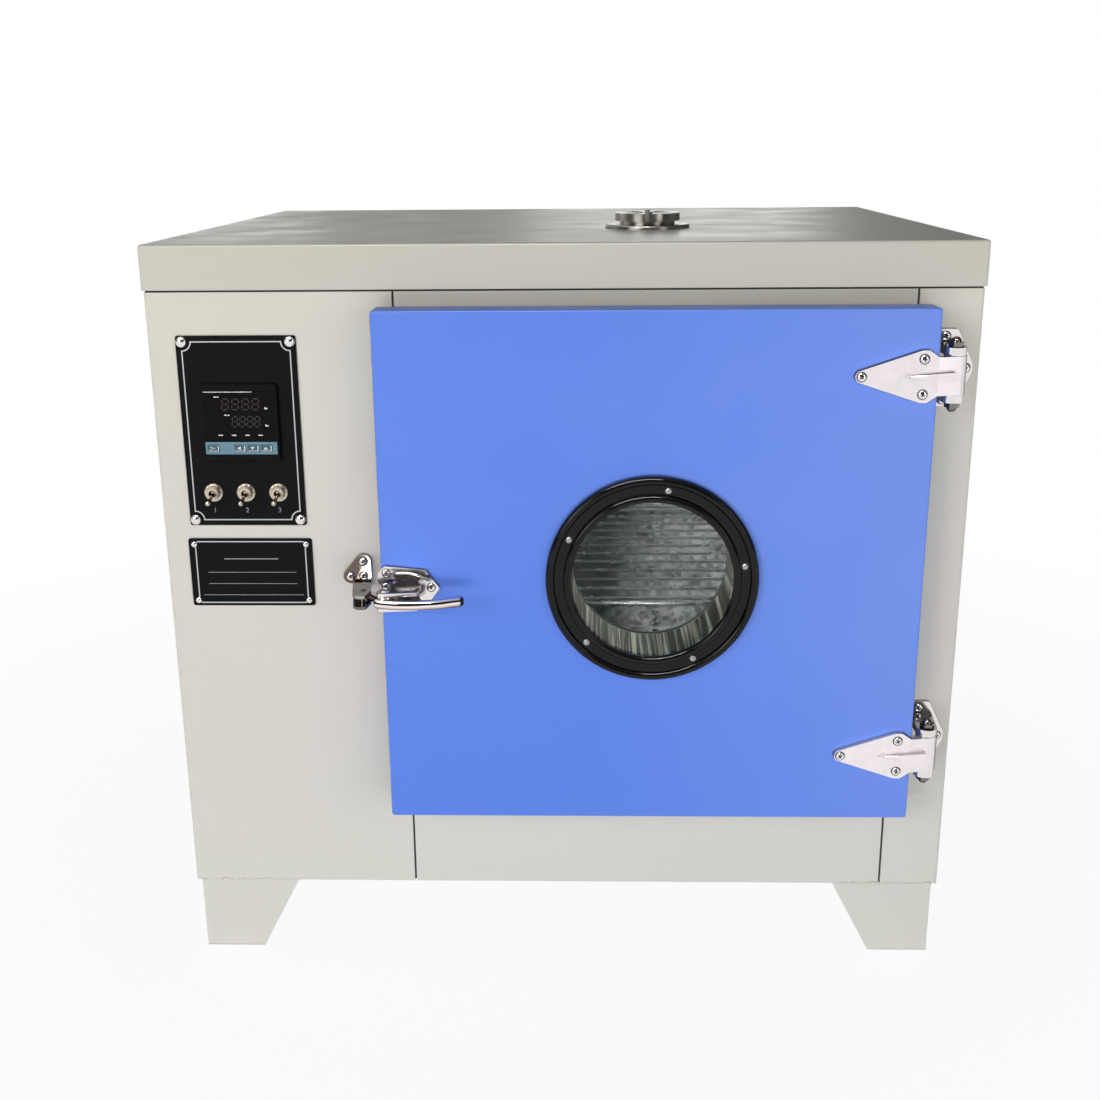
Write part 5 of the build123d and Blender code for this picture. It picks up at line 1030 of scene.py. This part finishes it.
class Room(Graph):
    """The graph of the world, with its ramps of grey and its backgrounds."""

    def ramp(self, value, stops):
        node = self.add("ShaderNodeValToRGB")
        while len(node.color_ramp.elements) < len(stops):
            node.color_ramp.elements.new(0.5)
        for element, (position, grey) in zip(node.color_ramp.elements, stops):
            element.position = position
            element.color = (grey, grey, grey, 1)
        self.link(value, node.inputs["Fac"])
        return node.outputs["Color"]

    def grey(self, value):
        node = self.add("ShaderNodeCombineColor")
        for socket in node.inputs[:3]:
            self.link(value, socket)
        return node.outputs["Color"]

    def background(self, colour, strength):
        node = self.add("ShaderNodeBackground")
        node.inputs["Strength"].default_value = strength
        self.fill(node.inputs["Color"], colour)
        return node.outputs["Background"]


def glossy_room(room, level):
    """The pale room with darker ends, streaks and one bright opening, that gloss and glass see."""
    forward = room.along("Y", *FORWARD)
    gloss = room.mix(forward, room.ramp(level, FRONT_STOPS), room.ramp(level, BACK_STOPS))
    streaks = room.ramp(room.noise(1.0, stretch=STREAK_SCALE), STREAK_STOPS)
    gloss = room.mix(1.0, gloss, streaks, "MULTIPLY")
    aside = room.grey(room.along("X", *SIDE_REACH, *SIDE_SHADE))
    gloss = room.mix(forward, gloss, room.mix(1.0, gloss, aside, "MULTIPLY"))
    opening = room.along("X", *PATCH_LEFT)
    for axis, start, end in PATCH_EDGES:
        opening = room.maths("MULTIPLY", opening, room.along(axis, start, end))
    return room.mix(opening, gloss, (PATCH_LIGHT, PATCH_LIGHT, PATCH_LIGHT))


def studio_world():
    """Soft room light; the camera sees plain white, and gloss and glass see a room."""
    world = bpy.data.worlds.new("studio")
    bpy.context.scene.world = world
    world.use_nodes = True
    world.node_tree.nodes.clear()
    room = Room(world.node_tree, "Generated")
    level = room.along("Z", -1.0, 1.0)
    matt = room.background(room.ramp(level, ROOM_STOPS), ROOM_LIGHT)
    gloss = room.background(glossy_room(room, level), 1.0)
    surface = room.either(room.seen_by("Is Glossy Ray", "Is Transmission Ray"), matt, gloss)
    surface = room.either(room.seen_by("Is Camera Ray"), surface, room.background((1, 1, 1), 1.0))
    room.link(surface, room.add("ShaderNodeOutputWorld").inputs["Surface"])


def inside(*shares):
    """The point at these shares of the chamber's width, depth and height."""
    low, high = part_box("chamber_liner")
    return Vector([a + (b - a) * share for a, b, share in zip(low, high, shares)])


AIM = Vector((0.0, -0.1, 0.38))
# name, place, aim, size, power, colour, and whether matt and glossy surfaces see it; the chamber's
# lamp stands for what its window lets in
LAMPS = (("key_lamp", Vector((-1.8, -2.6, 1.25)), AIM, (1.6, 1.1), 26.0, (1.0, 0.985, 0.955), True, True),
         ("fill_lamp", Vector((2.0, -2.3, 1.0)), AIM, (0.9, 1.2), 8.5, (0.97, 0.98, 1.0), True, True),
         ("low_lamp", Vector((0.0, -2.4, 0.12)), AIM, (2.6, 0.22), 16.0, (1.0, 1.0, 1.0), True, False),
         ("strip_lamp", Vector((-0.4, -1.9, 2.6)), AIM, (1.8, 0.16), 75.0, (1.0, 1.0, 1.0), False, True),
         ("chamber_lamp", inside(0.60, 0.14, 0.86), inside(0.70, 1.0, 0.36), (0.16, 0.10), 1.6,
          (1.0, 0.99, 0.96), True, False))


def lamps():
    for name, place, aim, size, power, colour, matt, glossy in LAMPS:
        data = bpy.data.lights.new(name, "AREA")
        data.shape = "RECTANGLE"
        data.size, data.size_y = size
        data.energy = power
        data.color = colour
        lamp = bpy.data.objects.new(name, data)
        lamp.location = place
        lamp.rotation_mode = "QUATERNION"
        lamp.rotation_quaternion = (aim - place).to_track_quat("-Z", "Y")
        lamp.visible_diffuse = matt
        lamp.visible_glossy = glossy
        lamp.visible_camera = False
        bpy.context.scene.collection.objects.link(lamp)


def camera():
    data = bpy.data.cameras.new("camera")
    data.lens = CAMERA_LENS
    data.sensor_width = CAMERA_SENSOR
    forward = Vector((-math.sin(CAMERA_YAW) * math.cos(CAMERA_DOWN),
                      math.cos(CAMERA_YAW) * math.cos(CAMERA_DOWN), -math.sin(CAMERA_DOWN)))
    right = Vector((math.cos(CAMERA_YAW), math.sin(CAMERA_YAW), 0))
    above = right.cross(forward)
    rolled_right = right * math.cos(CAMERA_ROLL) + above * math.sin(CAMERA_ROLL)
    rolled_above = above * math.cos(CAMERA_ROLL) - right * math.sin(CAMERA_ROLL)
    eye = bpy.data.objects.new("camera", data)
    turn = Matrix((rolled_right, rolled_above, -forward)).transposed().to_4x4()
    eye.matrix_world = Matrix.Translation(CAMERA_PLACE) @ turn
    bpy.context.scene.collection.objects.link(eye)
    bpy.context.scene.camera = eye


# ------------------------------------------------------------------ build
bpy.context.scene.view_settings.view_transform = "Standard"
camera()
studio_world()
lamps()
stage_floor()
dress_nodes()
screw_heads("panel_screws", "chrome", "root", crossed=False, painted_rim_shade=False)
screw_heads("cabinet_screws", "chrome", "root", crossed=True)
screw_heads("door_screws", "chrome", "door", crossed=True)
screw_heads("window_screws", "steel", "door", crossed=False)
panel_lines()
name_plate_rules()
toggle_numbers()
toggle_threads()
controller_digits()
controller_marks()
key_strip()
key_symbols()
weld_beads()
